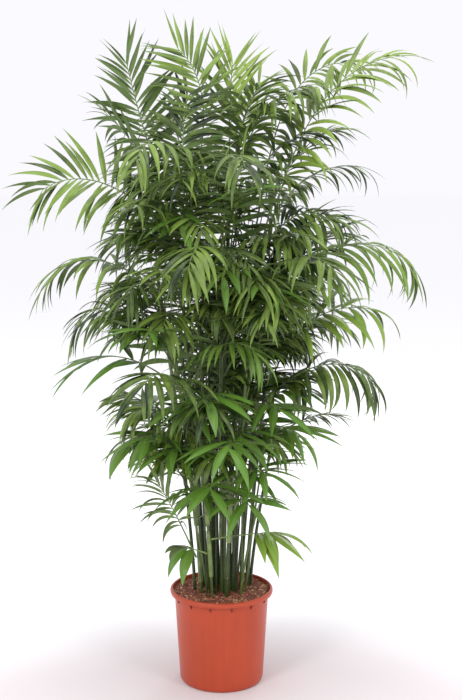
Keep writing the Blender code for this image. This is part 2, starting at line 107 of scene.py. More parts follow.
# How far one leaflet may differ from the next: angles in radians, the rest as factors
SPLAY_SPREAD = math.radians(7)
LIFT_SPREAD = 0.12
TURN_SPREAD = 0.35
LENGTH_RANGE = (0.86, 1.12)
WIDTH_RANGE = (0.88, 1.12)
BEND_RANGE = (0.55, 1.45)
LEAST_BEND = 0.03
BROAD_LIMPNESS = 0.75       # young, broad leaflets are this much stiffer

# How far one frond may differ from the next
TONE_SPREAD = 0.30
YOUNG_CHANCE = 0.12         # share of the narrow fronds that are still light green
YOUNG_TONE = 0.6

# Inner fronds: where they start, how they rise and end, in metres and degrees
INNER_CANE = 0.80           # only canes taller than this bear them
INNER_LOWEST = 0.46
INNER_RISE = (55, 78)
INNER_TIP = (-60, 5)
INNER_PETIOLE = (0.22, 0.36)
INNER_LEAF = (0.12, 0.155)
INNER_WIDTH = (0.015, 0.020)
INNER_LENGTH = (0.13, 0.50)
INNER_BROAD = 0.25          # share of them that is young and broad

Cane = namedtuple("Cane", "foot_x foot_y top_x top_y top_z")
CANES = (
    Cane(-0.070, 0.000, -0.165, 0.030, 1.08),
    Cane(-0.052, -0.030, -0.120, -0.080, 0.92),
    Cane(-0.045, 0.030, -0.125, 0.090, 1.24),
    Cane(-0.026, 0.002, -0.080, 0.010, 1.32),
    Cane(-0.024, -0.050, -0.060, -0.130, 0.74),
    Cane(-0.014, 0.056, -0.040, 0.150, 1.18),
    Cane(0.000, -0.024, 0.000, -0.060, 1.16),
    Cane(0.004, 0.024, 0.020, 0.060, 1.28),
    Cane(0.014, -0.058, 0.030, -0.140, 0.62),
    Cane(0.028, -0.008, 0.090, -0.020, 1.14),
    Cane(0.032, 0.050, 0.082, 0.135, 1.20),
    Cane(0.052, 0.016, 0.110, 0.030, 0.90),
    Cane(0.050, -0.036, 0.095, -0.100, 0.50),
    Cane(0.076, 0.036, 0.145, 0.070, 0.68),
    Cane(0.066, 0.066, 0.120, 0.160, 0.76),
    Cane(0.006, 0.084, 0.010, 0.210, 0.94),
    Cane(-0.050, 0.066, -0.110, 0.180, 0.86),
)

# cane, height on it, heading, slope at the foot and at the end, length, share of it that is
# bare petiole, pairs of leaflets, a leaflet's length and width, how far the leaflets lift and
# hang, how far the blade is rolled, how late it bends, how wide the leaflets splay and how
# new and yellow they are. Metres and degrees.
Frond = namedtuple(
    "Frond",
    "cane height heading rise tip length petiole pairs leaf width vee hang roll stiff spread fresh",
    defaults=(0, 2.0, 1.0, 0.0),
)
FRONDS = (
    # Outline, seen from the front
    Frond(3, 1.215, 180, 72, 78, 0.41, 0.34, 10, 0.150, 0.016, 12, 0.35, 75),
    Frond(4, 1.27, 0, 79, 140, 0.38, 0.46, 9, 0.140, 0.014, 12, 0.30, -70, 2.6),
    Frond(8, 1.25, 0, 92, 84, 0.35, 0.52, 6, 0.145, 0.014, 0, 0.30, 80, 2.0, 0.7, fresh=0.50),
    Frond(10, 1.05, 2, 76, 4, 0.70, 0.36, 10, 0.165, 0.018, 5, 0.90, 30, 3.0, fresh=0.30),
    Frond(11, 1.15, 6, 80, -30, 0.60, 0.42, 10, 0.130, 0.015, 20, 1.40, 45, 3.6, fresh=0.10),
    Frond(8, 1.20, 330, 82, 5, 0.44, 0.35, 9, 0.160, 0.017, 10, 1.50),
    Frond(10, 1.11, 352, 62, -25, 0.23, 0.28, 8, 0.165, 0.017, 5, 1.60, 20),
    Frond(10, 0.755, 2, 80, -50, 0.68, 0.38, 10, 0.185, 0.021, 5, 1.30, 18, fresh=0.25),
    Frond(12, 0.85, 352, 46, -14, 0.32, 0.36, 6, 0.170, 0.025, 5, 1.40, 15, fresh=0.50),
    Frond(12, 0.72, 352, 48, -58, 0.355, 0.28, 8, 0.165, 0.020, 5, 1.50, 15),
    Frond(14, 0.64, 350, 36, -12, 0.18, 0.40, 5, 0.090, 0.011, 5, 0.50),
    Frond(3, 1.16, 178, 47, -38, 0.40, 0.18, 10, 0.165, 0.017, 20, 0.60, -60, 2.0, 1.25),
    Frond(1, 1.03, 178, 36, -58, 0.31, 0.15, 8, 0.160, 0.019, 10, 1.00),
    Frond(2, 0.88, 178, 54, -62, 0.30, 0.18, 8, 0.150, 0.015, 0, 0.80, -15),
    Frond(2, 0.80, 180, 36, -30, 0.25, 0.34, 5, 0.190, 0.026, 5, 0.60),
    Frond(1, 0.635, 178, 58, 12, 0.19, 0.45, 5, 0.135, 0.020, 0, 0.70),
    Frond(1, 0.585, 184, 48, -40, 0.17, 0.40, 4, 0.160, 0.026, 0, 1.10),
    Frond(2, 0.34, 178, 66, 58, 0.23, 0.40, 7, 0.120, 0.013, 0, 0.90, 50),
    Frond(5, 0.36, 195, 25, 5, 0.06, 0.50, 2, 0.125, 0.030, 0, 1.30),
    Frond(5, 0.40, 342, 14, 6, 0.165, 0.74, 4, 0.160, 0.028, 0, 1.00, fresh=0.50),
    # Towards the front
    Frond(7, 0.70, 262, 45, -20, 0.26, 0.40, 4, 0.165, 0.028, 0, 0.80),
    Frond(5, 0.50, 275, 45, -20, 0.22, 0.40, 4, 0.160, 0.028, 0, 0.90),
    Frond(7, 1.12, 280, 70, -40, 0.46, 0.25, 7, 0.150, 0.018, 10, 0.90),
    Frond(4, 1.18, 250, 64, -50, 0.46, 0.22, 7, 0.150, 0.018, 10, 0.90),
    Frond(10, 0.92, 305, 62, -50, 0.46, 0.25, 7, 0.150, 0.018, 10, 0.90),
    Frond(5, 0.70, 242, 62, -40, 0.34, 0.30, 6, 0.150, 0.020, 5, 0.80),
    Frond(7, 0.94, 258, 66, -55, 0.46, 0.25, 7, 0.150, 0.018, 10, 0.90),
    Frond(9, 0.58, 268, 58, -30, 0.26, 0.30, 5, 0.155, 0.026, 5, 0.90),
    Frond(9, 0.46, 290, 56, -30, 0.17, 0.35, 4, 0.140, 0.026, 5, 0.90),
    # Towards the back
    Frond(6, 1.15, 95, 70, -35, 0.42, 0.25, 7, 0.150, 0.018, 10, 0.90),
    Frond(16, 0.92, 80, 66, -45, 0.38, 0.25, 7, 0.150, 0.018, 10, 0.90),
    Frond(11, 0.84, 40, 60, -45, 0.42, 0.28, 6, 0.150, 0.018, 10, 0.90),
    Frond(17, 0.84, 136, 60, -50, 0.38, 0.25, 7, 0.150, 0.018, 10, 0.90),
    Frond(15, 0.74, 50, 56, -40, 0.40, 0.30, 6, 0.150, 0.018, 5, 0.90),
    Frond(6, 0.96, 122, 62, -45, 0.44, 0.25, 6, 0.150, 0.018, 10, 0.90),
    Frond(16, 0.70, 105, 55, -40, 0.34, 0.30, 6, 0.150, 0.020, 5, 0.80),
    Frond(8, 1.05, 65, 66, -40, 0.46, 0.25, 7, 0.150, 0.018, 10, 0.90),
    Frond(17, 0.60, 148, 50, -30, 0.26, 0.30, 5, 0.140, 0.024, 5, 0.80),
    Frond(3, 0.98, 130, 62, -50, 0.38, 0.25, 6, 0.150, 0.018, 10, 0.90),
    Frond(15, 0.52, 95, 56, -25, 0.18, 0.35, 5, 0.130, 0.024, 5, 0.80),
    Frond(11, 0.62, 75, 55, -35, 0.34, 0.30, 5, 0.150, 0.020, 5, 0.80),
)

# More fronds, which the solid model leaves out: in the upper crown, then low in the clump
MORE_FRONDS = (
    Frond(8, 1.10, 350, 80, 0, 0.45, 0.30, 10, 0.150, 0.016, 10, 1.2),
    Frond(11, 0.98, 355, 82, -5, 0.50, 0.30, 10, 0.150, 0.016, 10, 1.2),
    Frond(10, 1.08, 15, 80, 25, 0.42, 0.30, 9, 0.150, 0.016, 10, 1.1),
    Frond(8, 1.22, 305, 84, 35, 0.36, 0.30, 8, 0.145, 0.016, 10, 1.0),
    Frond(7, 1.12, 20, 84, 55, 0.38, 0.30, 9, 0.145, 0.015, 10, 1.0),
    Frond(4, 1.22, 200, 82, 105, 0.30, 0.30, 9, 0.140, 0.015, 10, 0.8, 40),
    Frond(3, 1.10, 165, 76, 40, 0.42, 0.30, 9, 0.145, 0.016, 10, 0.9, 30),
    Frond(8, 1.26, 10, 84, 60, 0.30, 0.30, 8, 0.130, 0.014, 10, 1.0, 40),
    Frond(12, 0.88, 5, 78, 20, 0.36, 0.30, 9, 0.155, 0.017, 10, 1.2, 15),
    Frond(10, 0.98, 338, 74, -10, 0.36, 0.30, 9, 0.155, 0.017, 10, 1.2, 15),
    Frond(12, 0.62, 318, 50, -35, 0.17, 0.30, 5, 0.160, 0.024, 5, 0.9),
    Frond(2, 0.60, 228, 55, -30, 0.20, 0.30, 5, 0.150, 0.024, 5, 0.9),
    Frond(10, 0.66, 300, 55, -25, 0.22, 0.30, 5, 0.160, 0.025, 5, 0.9),
    Frond(7, 0.60, 290, 60, -35, 0.20, 0.30, 5, 0.160, 0.026, 5, 1.0),
    Frond(4, 0.50, 236, 68, 0, 0.20, 0.30, 9, 0.120, 0.018, 5, 0.9, 0, 2.0, 0.8, 0.8),
    Frond(2, 0.52, 215, 62, 10, 0.16, 0.30, 7, 0.110, 0.018, 5, 0.9, 0, 2.0, 0.9, 0.7),
    Frond(4, 0.66, 262, 60, -35, 0.24, 0.30, 5, 0.160, 0.025, 5, 1.0),
    Frond(10, 0.50, 285, 60, -20, 0.17, 0.30, 4, 0.150, 0.025, 5, 1.0),
    Frond(7, 0.45, 250, 62, -10, 0.16, 0.30, 4, 0.140, 0.025, 5, 1.0),
    Frond(2, 0.56, 250, 62, -20, 0.18, 0.30, 5, 0.150, 0.024, 5, 0.9),
    Frond(5, 0.58, 200, 64, -20, 0.16, 0.30, 5, 0.150, 0.024, 5, 0.9),
    Frond(9, 0.52, 310, 62, -20, 0.17, 0.30, 5, 0.150, 0.024, 5, 0.9),
    Frond(7, 0.54, 265, 66, -20, 0.18, 0.30, 7, 0.140, 0.020, 5, 0.9),
    Frond(4, 0.58, 220, 66, -20, 0.20, 0.30, 8, 0.140, 0.018, 5, 0.9, fresh=0.5),
    Frond(10, 0.58, 318, 62, -30, 0.17, 0.30, 8, 0.140, 0.018, 5, 1.0),
    Frond(3, 0.55, 165, 60, -20, 0.18, 0.30, 8, 0.140, 0.018, 5, 1.0, fresh=0.4),
    Frond(11, 0.56, 40, 60, -30, 0.17, 0.30, 7, 0.140, 0.018, 5, 1.0),
    Frond(16, 0.54, 85, 60, -30, 0.18, 0.30, 7, 0.140, 0.020, 5, 1.0),
    Frond(17, 0.48, 150, 62, -30, 0.18, 0.30, 5, 0.140, 0.024, 5, 1.0),
    Frond(5, 0.68, 280, 64, -30, 0.20, 0.30, 8, 0.145, 0.018, 5, 1.0),
    Frond(2, 0.66, 205, 60, -35, 0.18, 0.30, 8, 0.140, 0.018, 5, 1.1),
)

# Stage: the patch of painted shade on the floor, the lamps and the camera, in metres, watts and
# millimetres
PAINTED_SHADE_MIDDLE = (0.0, -0.8, 0.0)
PAINTED_SHADE_FADE = (0.90, 1.45)
FLOOR_SIDES = 96
FLOOR_RINGS = (0.0, 1.0, 4.0)
CAMERA_PLACE = (0.025, -3.2, 1.374)
CAMERA_TARGET = (0.025, 0.0, 0.879)
CAMERA_LENS = 65.2
CAMERA_SENSOR = 36.0
Lamp = namedtuple("Lamp", "name place target width power")
LAMPS = (
    Lamp("top_box", (0.0, -0.6, 4.4), (0.0, 0.0, 0.6), 2.2, 50.0),
    Lamp("key_box", (-2.6, -3.6, 3.2), (0.0, 0.0, 0.9), 1.5, 75.0),
    Lamp("fill_box", (3.2, -3.2, 2.0), (0.0, 0.0, 0.8), 1.5, 50.0),
    Lamp("back_box", (1.5, 4.0, 2.8), (0.0, 0.0, 0.9), 2.0, 30.0),
)

# Height, and how far the inner fronds may reach to the left and to the right at it
ENVELOPE = (
    (0.35, 0.07, 0.07), (0.50, 0.12, 0.10), (0.58, 0.16, 0.14), (0.66, 0.19, 0.20),
    (0.75, 0.20, 0.25), (0.88, 0.24, 0.27), (1.00, 0.28, 0.29), (1.13, 0.24, 0.29),
    (1.21, 0.21, 0.29), (1.30, 0.26, 0.30), (1.39, 0.28, 0.30), (1.51, 0.19, 0.29),
    (1.65, 0.10, 0.14),
)


def linear(code):
    """The linear colour of an sRGB hex value."""
    channels = [int(code[k:k + 2], 16) / 255 for k in (1, 3, 5)]
    return tuple(c / 12.92 if c <= 0.04045 else ((c + 0.055) / 1.055) ** 2.4 for c in channels)


def colour(name, code, description):
    return FloatVectorProperty(name=name, description=description, subtype="COLOR", min=0, max=1,
                               default=linear(code))


class PalmPotSettings(bpy.types.PropertyGroup):
    colour: colour("Plastic", "#B34323", "Colour of the moulded terracotta plastic")
    ribs: IntProperty(name="Ribs", description="Gussets under the band", default=14, min=3)
    rib_thickness: FloatProperty(name="Rib thickness", description="Thickness of a gusset",
                                 default=0.003, unit="LENGTH")
    # painted shade: the gussets take the plastic at this share of its brightness, as if in the shade
    # under the band
    rib_painted_shade: FloatProperty(name="Rib tone", description="Brightness of the gussets by the wall's",
                            default=0.45)
    rib_height: FloatProperty(name="Rib height", description="Height of a gusset",
                              default=0.014, unit="LENGTH")
    rib_reach: FloatProperty(name="Rib reach", description="How far a gusset stands out at its top",
                             default=0.006, unit="LENGTH")


class PalmSoilSettings(bpy.types.PropertyGroup):
    dark: colour("Dark bark", "#5E3426", "Colour of the wet bark between the chips")
    chip: colour("Bark chip", "#A65F48", "Colour of a middling bark chip")
    pale: colour("Pale fibre", "#CDAA80", "Colour of the driest chips and fibres")
    chips: IntProperty(name="Chips", description="Bark chips to each square metre", default=26000)
    chip_size: FloatProperty(name="Chip size", description="Length of a middling chip",
                             default=0.0085, unit="LENGTH")
    seed: IntProperty(name="Seed", description="Seed of the chips' places", default=7)


class PalmCaneSettings(bpy.types.PropertyGroup):
    colour: colour("Cane", "#34431B", "Colour of the smooth green cane")
    scar: colour("Leaf scar", "#7E8A58", "Colour of the pale ring at each joint of a cane")
    spacing: FloatProperty(name="Joint spacing", description="Distance between the rings of a cane",
                           default=0.062, unit="LENGTH")
    sides: IntProperty(name="Sides", description="Sides of a cane", default=14, min=6)
    shoots: IntProperty(name="Shoots", description="Thin shoots between the canes", default=40)
    seed: IntProperty(name="Seed", description="Seed of the shoots' places", default=5)


class PalmFrondSettings(bpy.types.PropertyGroup):
    dark: colour("Dark leaf", "#15270A", "Colour of the oldest leaflets")
    bright: colour("Bright leaf", "#7A9440", "Colour of the freshest full-grown leaflets")
    young: colour("Young leaf", "#587F2C", "Colour of the young, broad leaflets")
    fresh: colour("Fresh leaf", "#93AE45", "Colour of the newest, yellowest leaflets")
    underside: colour("Underside", "#617742", "Colour of the dull back of a leaflet")
    dry: colour("Dry tip", "#8A7A3C", "Colour of the dried end of a leaflet")
    petiole: colour("Petiole", "#7A9050", "Colour of the leaf stalks")
    longer: FloatProperty(name="Longer", description="Length of a leaflet against the solid frond's",
                          default=1.0)
    wider: FloatProperty(name="Wider", description="Width of a leaflet against the solid frond's",
                         default=0.80)
    limper: FloatProperty(name="Limper", description="Droop of a leaflet against the solid frond's",
                          default=1.3)
    fullness: FloatProperty(name="Fullness", description="Leaflets for each leaflet of the solid frond",
                            default=2.0)
    splay_foot: FloatProperty(name="Splay at the foot", subtype="ANGLE", default=math.radians(76),
                              description="Angle of the lowest leaflets to the rachis")
    splay_tip: FloatProperty(name="Splay at the tip", subtype="ANGLE", default=math.radians(28),
                             description="Angle of the last leaflets to the rachis")
    fold: FloatProperty(name="Fold", default=0.22,
                        description="Drop of a leaflet's edges below its midrib, by half width")
    thickness: FloatProperty(name="Thickness", description="Half thickness of a leaflet at its midrib",
                             default=0.0005, unit="LENGTH")
    steps: IntProperty(name="Steps", description="Points along a leaflet", default=10, min=4)
    inner: IntProperty(name="Inner fronds", description="Fronds that fill the clump", default=98)
    seed: IntProperty(name="Seed", description="Seed of the leaves' small differences", default=11)


class PalmStageSettings(bpy.types.PropertyGroup):
    floor: colour("Floor", "#FDFDFD", "Colour of the clean studio floor")
    # painted shade: the floor's colour in the soft round patch before the pot
    chip_wear_and_painted_floor_shade: colour("Worn floor", "#DFD8D9", "Colour of the floor under and before the pot")
    air: colour("Surroundings", "#FBFAFF", "Colour of the soft light from all around")
    radius: FloatProperty(name="Radius", description="Radius of the floor", default=40.0, unit="LENGTH")


# ---------------------------------------------------------------- helpers

def add(tree, kind, *values, **settings):
    """Add a node: values go to its sockets in order, a dict's by name, and settings are its own."""
    node = tree.nodes.new(kind)
    for name, value in settings.items():
        setattr(node, name, value)
    pairs = []
    for k, value in enumerate(values):
        pairs += value.items() if isinstance(value, dict) else [(k, value)]
    for key, value in pairs:
        source = value.outputs[0] if isinstance(value, bpy.types.Node) else value
        if isinstance(source, bpy.types.NodeSocket):
            tree.links.new(source, node.inputs[key])
        elif source is not None:
            node.inputs[key].default_value = source
    return node


MATH = "ShaderNodeMath"
VECTOR = "ShaderNodeVectorMath"
MIX = "ShaderNodeMix"
RANGE = "ShaderNodeMapRange"
NAMED = "GeometryNodeInputNamedAttribute"
STORE = "GeometryNodeStoreNamedAttribute"


def new_material(name):
    """A node material: its tree and its shader."""
    material = bpy.data.materials.new(name)
    material.use_nodes = True
    return material, material.node_tree, material.node_tree.nodes["Principled BSDF"]


def opaque(rgb):
    return (*rgb, 1.0)


def toned(rgb, share):
    """The colour at a share of its brightness, or brighter where the share is over 1."""
    return opaque(min(1.0, c * share) for c in rgb)


def new_object(name, bm):
    mesh = bpy.data.meshes.new(name)
    bm.to_mesh(mesh)
    bm.free()
    piece = bpy.data.objects.new(name, mesh)
    bpy.context.scene.collection.objects.link(piece)
    return piece


def new_tree(name, sockets):
    """A geometry tree with one geometry output, a geometry input and the named inputs."""
    tree = bpy.data.node_groups.new(name, "GeometryNodeTree")
    tree.interface.new_socket("Geometry", in_out="OUTPUT", socket_type="NodeSocketGeometry")
    tree.interface.new_socket("Geometry", in_out="INPUT", socket_type="NodeSocketGeometry")
    for socket, kind in sockets.items():
        tree.interface.new_socket(socket, in_out="INPUT", socket_type="NodeSocket" + kind)
    return tree, add(tree, "NodeGroupInput"), add(tree, "NodeGroupOutput")


def ring(bm, sides, radius, height):
    """A level ring of vertices round the axis, or one vertex on the axis itself."""
    turns = [2 * math.pi * k / sides for k in range(sides if radius else 1)]
    return [bm.verts.new((radius * math.cos(a), radius * math.sin(a), height)) for a in turns]


def cover(bm, rings, sides):
    """Faces from each ring to the next; a ring of one vertex closes to a point."""
    for near, far in zip(rings, rings[1:]):
        for k in range(sides):
            after = (k + 1) % sides
            corners = [near[k % len(near)], far[k % len(far)],
                       far[after % len(far)], near[after % len(near)]]
            bm.faces.new(list(dict.fromkeys(corners)))


def make_plain(piece):
    """Keep what the piece's modifiers make as its own mesh, and take them off."""
    graph = bpy.context.evaluated_depsgraph_get()
    mesh = bpy.data.meshes.new_from_object(piece.evaluated_get(graph))
    piece.modifiers.clear()
    before = piece.data
    piece.data = mesh
    bpy.data.meshes.remove(before)
    mesh.name = piece.name
    if not mesh.polygons:
        raise RuntimeError(f"nothing was made for {piece.name}")


def grow(piece, tree, values, sharp=math.radians(40)):
    """Run a tree on a piece with its inputs set, and keep the result as a plain, smooth mesh."""
    modifier = piece.modifiers.new(tree.name, "NODES")
    modifier.node_group = tree
    for item in tree.interface.items_tree:
        if item.in_out == "INPUT" and item.name in values:
            modifier[item.identifier] = values[item.name]
    make_plain(piece)
    piece.data.shade_smooth()
    piece.data.set_sharp_from_angle(angle=sharp)
    return piece


def settle(piece, slot, *nodes):
    """The piece rides with the plant and stands in for solid nodes; its slot is not used."""
    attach(piece, "root")
    if nodes:
        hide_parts(*nodes)


# ---------------------------------------------------------------- materials

def terracotta_plastic(settings, tone=1.0):
    """Injection-moulded polypropylene: even colour, a satin skin and a faint grain."""
    material, tree, shader = new_material("terracotta_polypropylene")
    place = add(tree, "ShaderNodeTexCoord").outputs["Object"]
    cloud = add(tree, "ShaderNodeTexNoise", {"Vector": place, "Scale": 9.0, "Detail": 4.0})
    streaks = add(tree, "ShaderNodeMapping", {"Vector": place, "Scale": (60.0, 60.0, 2.5)})
    streak = add(tree, "ShaderNodeTexNoise", {"Vector": streaks, "Scale": 1.0, "Detail": 2.0})
    blend = add(tree, MATH, cloud, streak, operation="MULTIPLY")
    shade = add(tree, RANGE, {"Value": blend, "From Min": 0.12, "From Max": 0.42})
    # a tone under one gives a darker copy of the plastic: painted shade, used for the ribs under the
    # band
    body = add(tree, MIX, {0: shade, 6: toned(settings.colour, 0.88 * tone),
                           7: toned(settings.colour, tone)}, data_type="RGBA")
    tree.links.new(body.outputs[2], shader.inputs["Base Color"])
    gloss = add(tree, RANGE, {"Value": cloud, "From Min": 0.3, "From Max": 0.7,
                              "To Min": 0.30, "To Max": 0.42})
    tree.links.new(gloss.outputs[0], shader.inputs["Roughness"])
    # the mould's grain is about 1.5 mm, coarser than real so that it shows
    grain = add(tree, "ShaderNodeTexNoise", {"Vector": place, "Scale": 700.0, "Detail": 2.0})
    bump = add(tree, "ShaderNodeBump", {"Height": grain, "Strength": 0.12, "Distance": 0.0003})
    tree.links.new(bump.outputs[0], shader.inputs["Normal"])
    shader.inputs["IOR"].default_value = 1.49
    shader.inputs["Specular IOR Level"].default_value = 0.45
    return material


def bark_mix(settings):
    """Potting bark: rough chips from dark red-brown to straw, each its own colour, dull and fibrous."""
    material, tree, shader = new_material("potting_bark")
    place = add(tree, "ShaderNodeTexCoord").outputs["Object"]
    chip = add(tree, "ShaderNodeAttribute", attribute_name="chip").outputs["Fac"]
    crumbs = add(tree, "ShaderNodeTexNoise",
                 {"Vector": place, "Scale": 420.0, "Detail": 5.0, "Roughness": 0.7})
    patches = add(tree, "ShaderNodeTexNoise", {"Vector": place, "Scale": 38.0, "Detail": 3.0})
    patch = add(tree, RANGE, {"Value": patches, "From Min": 0.35, "From Max": 0.65,
                              "To Min": 0.60, "To Max": 1.4})
    # how far each chip is weathered and pale
    chip_wear_and_painted_floor_shade = add(tree, MATH, chip, patch, operation="MULTIPLY")
    value = add(tree, MATH, crumbs, 0.5, chip_wear_and_painted_floor_shade, operation="MULTIPLY_ADD")
    # the value runs to about 1.3, and the ramp from 0 to 1
    most = 1.3
    scaled = add(tree, MATH, value, 1 / most, operation="MULTIPLY")
    ramp = add(tree, "ShaderNodeValToRGB", scaled)
    ramp.color_ramp.elements.remove(ramp.color_ramp.elements[1])
    stops = ((0.30, settings.dark), (0.62, settings.chip), (0.92, settings.chip), (1.18, settings.pale))
    ramp.color_ramp.elements[0].position = stops[0][0] / most
    ramp.color_ramp.elements[0].color = opaque(stops[0][1])
    for position, rgb in stops[1:]:
        ramp.color_ramp.elements.new(position / most).color = opaque(rgb)
    tree.links.new(ramp.outputs[0], shader.inputs["Base Color"])
    fibre = add(tree, "ShaderNodeTexNoise", {"Vector": place, "Scale": 900.0, "Detail": 4.0})
    bump = add(tree, "ShaderNodeBump", {"Height": fibre, "Strength": 0.6, "Distance": 0.001})
    tree.links.new(bump.outputs[0], shader.inputs["Normal"])
    shader.inputs["Roughness"].default_value = 0.86
    return material


def cane_skin(settings):
    """Waxy green cane: fine streaks along it, paler bloom in patches and on some canes, satin."""
    material, tree, shader = new_material("waxy_green_cane")
    place = add(tree, "ShaderNodeTexCoord").outputs["Object"]
    along = add(tree, "ShaderNodeMapping", {"Vector": place, "Scale": (400.0, 400.0, 14.0)})
    streak = add(tree, "ShaderNodeTexNoise", {"Vector": along, "Scale": 1.0, "Detail": 3.0})
    bloom = add(tree, "ShaderNodeTexNoise", {"Vector": place, "Scale": 22.0, "Detail": 3.0})
    mixed = add(tree, MATH, streak, bloom, operation="ADD")
    tint = add(tree, "ShaderNodeAttribute", attribute_name="tint").outputs["Fac"]
    aged = add(tree, MATH, mixed, tint, operation="ADD")
    share = add(tree, RANGE, {"Value": aged, "From Min": 0.8, "From Max": 2.2})
    body = add(tree, MIX, {0: share, 6: toned(settings.colour, 0.35),
                           7: toned(settings.colour, 3.0)}, data_type="RGBA")
    tree.links.new(body.outputs[2], shader.inputs["Base Color"])
    bump = add(tree, "ShaderNodeBump", {"Height": streak, "Strength": 0.25, "Distance": 0.0004})
    tree.links.new(bump.outputs[0], shader.inputs["Normal"])
    shader.inputs["Roughness"].default_value = 0.42
    return material


def leaf_scar(settings):
    """Corky ring where a leaf has dropped: pale, dry and matt."""
    material, tree, shader = new_material("corky_leaf_scar")
    place = add(tree, "ShaderNodeTexCoord").outputs["Object"]
    speck = add(tree, "ShaderNodeTexNoise", {"Vector": place, "Scale": 600.0, "Detail": 3.0})
    body = add(tree, MIX, {0: speck, 6: toned(settings.scar, 0.5), 7: opaque(settings.scar)},
               data_type="RGBA")
    tree.links.new(body.outputs[2], shader.inputs["Base Color"])
    shader.inputs["Roughness"].default_value = 0.75
    return material


def petiole_skin(settings):
    """Smooth leaf stalk: yellow-green with darker patches, satin."""
    material, tree, shader = new_material("leaf_stalk")
    place = add(tree, "ShaderNodeTexCoord").outputs["Object"]
    cloud = add(tree, "ShaderNodeTexNoise", {"Vector": place, "Scale": 35.0, "Detail": 3.0})
    share = add(tree, RANGE, {"Value": cloud, "From Min": 0.35, "From Max": 0.65})
    body = add(tree, MIX, {0: share, 6: toned(settings.petiole, 0.45), 7: opaque(settings.petiole)},
               data_type="RGBA")
    tree.links.new(body.outputs[2], shader.inputs["Base Color"])
    shader.inputs["Roughness"].default_value = 0.40
    return material


def leaf_skin(settings):
    """Palm leaflet: satin, ribbed and varied above, paler and dull below, drying at the very tip.

    The form attribute holds how far along, across and above the flat leaflet a point lies."""
    material, tree, shader = new_material("palm_leaflet")
    form = add(tree, "ShaderNodeAttribute", attribute_name="form")
    along, across, above = add(tree, "ShaderNodeSeparateXYZ", form.outputs["Vector"]).outputs
    tint = add(tree, "ShaderNodeAttribute", attribute_name="tint").outputs["Fac"]
    young = add(tree, "ShaderNodeAttribute", attribute_name="young").outputs["Fac"]
    newest = add(tree, "ShaderNodeAttribute", attribute_name="fresh").outputs["Fac"]
    place = add(tree, "ShaderNodeTexCoord").outputs["Object"]
    cloud = add(tree, "ShaderNodeTexNoise", {"Vector": place, "Scale": 28.0, "Detail": 4.0})
    patch = add(tree, RANGE, {"Value": cloud, "From Min": 0.3, "From Max": 0.7,
                              "To Min": -0.25, "To Max": 0.25})
    shade = add(tree, MATH, tint, patch, operation="ADD", use_clamp=True)
    from_midrib = add(tree, MATH, across, operation="ABSOLUTE")
    rib = add(tree, RANGE, {"Value": from_midrib, "From Min": 0.02, "From Max": 0.10,
                            "To Min": 0.55, "To Max": 0.0})
    end = add(tree, RANGE, {"Value": along, "From Min": 0.95, "From Max": 1.0,
                            "To Min": 0.0, "To Max": 0.8})
    below = add(tree, MATH, above, -0.001, operation="LESS_THAN")
    body = opaque(settings.dark)
    for share, over in ((shade, opaque(settings.bright)), (young, opaque(settings.young)),
                        (newest, opaque(settings.fresh)), (rib, toned(settings.young, 1.25)),
                        (end, opaque(settings.dry)), (below, opaque(settings.underside))):
        body = add(tree, MIX, {0: share, 6: body, 7: over}, data_type="RGBA").outputs[2]
    tree.links.new(body, shader.inputs["Base Color"])
    gloss = add(tree, RANGE, {"Value": below, "To Min": 0.34, "To Max": 0.60})
    tree.links.new(gloss.outputs[0], shader.inputs["Roughness"])
    shader.inputs["Specular IOR Level"].default_value = 0.38
    # veins are drawn about 2 mm apart, coarser than real ones, so that they show
    veins = add(tree, MATH, across, 26.0, operation="MULTIPLY")
    wave = add(tree, MATH, veins, operation="SINE")
    bump = add(tree, "ShaderNodeBump", {"Height": wave, "Strength": 0.22, "Distance": 0.0005})
    tree.links.new(bump.outputs[0], shader.inputs["Normal"])
    return material


def studio_paper(settings):
    """Seamless studio paper: off-white and matt, with painted shade that makes it duller in a soft
    round patch before the pot.
    """
    material, tree, shader = new_material("seamless_paper")
    place = add(tree, "ShaderNodeTexCoord").outputs["Object"]
    cloud = add(tree, "ShaderNodeTexNoise", {"Vector": place, "Scale": 1.2, "Detail": 3.0})
    # painted shade: a soft round patch before the pot, fading to the floor's own colour away from its
    # middle
    from_middle = add(tree, VECTOR, place, PAINTED_SHADE_MIDDLE, operation="SUBTRACT")
    distance = add(tree, VECTOR, from_middle, operation="LENGTH").outputs["Value"]
    uneven = add(tree, MATH, cloud, 0.12, distance, operation="MULTIPLY_ADD")
    unshaded = add(tree, RANGE, {"Value": uneven, "From Min": PAINTED_SHADE_FADE[0], "From Max": PAINTED_SHADE_FADE[1]},
                interpolation_type="SMOOTHSTEP")
    floor = add(tree, MIX, {0: unshaded, 6: opaque(settings.chip_wear_and_painted_floor_shade), 7: opaque(settings.floor)},
                data_type="RGBA")
    tree.links.new(floor.outputs[2], shader.inputs["Base Color"])
    shader.inputs["Roughness"].default_value = 0.9
    shader.inputs["Specular IOR Level"].default_value = 0.1
    return material


# ---------------------------------------------------------------- geometry trees

def rib_tree():
    """Copies of the input rib at equal angles around the pot."""
    tree, given, result = new_tree("Ribs round the pot", {"Count": "Int", "Material": "Material"})
    index = add(tree, "GeometryNodeInputIndex")
    halfway = add(tree, MATH, index, 0.5, operation="ADD")
    turn = add(tree, MATH, halfway, given.outputs["Count"], operation="DIVIDE")
    angle = add(tree, MATH, turn, 2 * math.pi, operation="MULTIPLY")
    spin = add(tree, "ShaderNodeCombineXYZ", None, None, angle)
    points = add(tree, "GeometryNodePoints", given.outputs["Count"])
    copies = add(tree, "GeometryNodeInstanceOnPoints",
                 {"Points": points, "Instance": given.outputs["Geometry"], "Rotation": spin})
    plain = add(tree, "GeometryNodeRealizeInstances", copies)
    finish = add(tree, "GeometryNodeSetMaterial",
                 {"Geometry": plain, "Material": given.outputs["Material"]})
    tree.links.new(finish.outputs[0], result.inputs[0])
    return tree


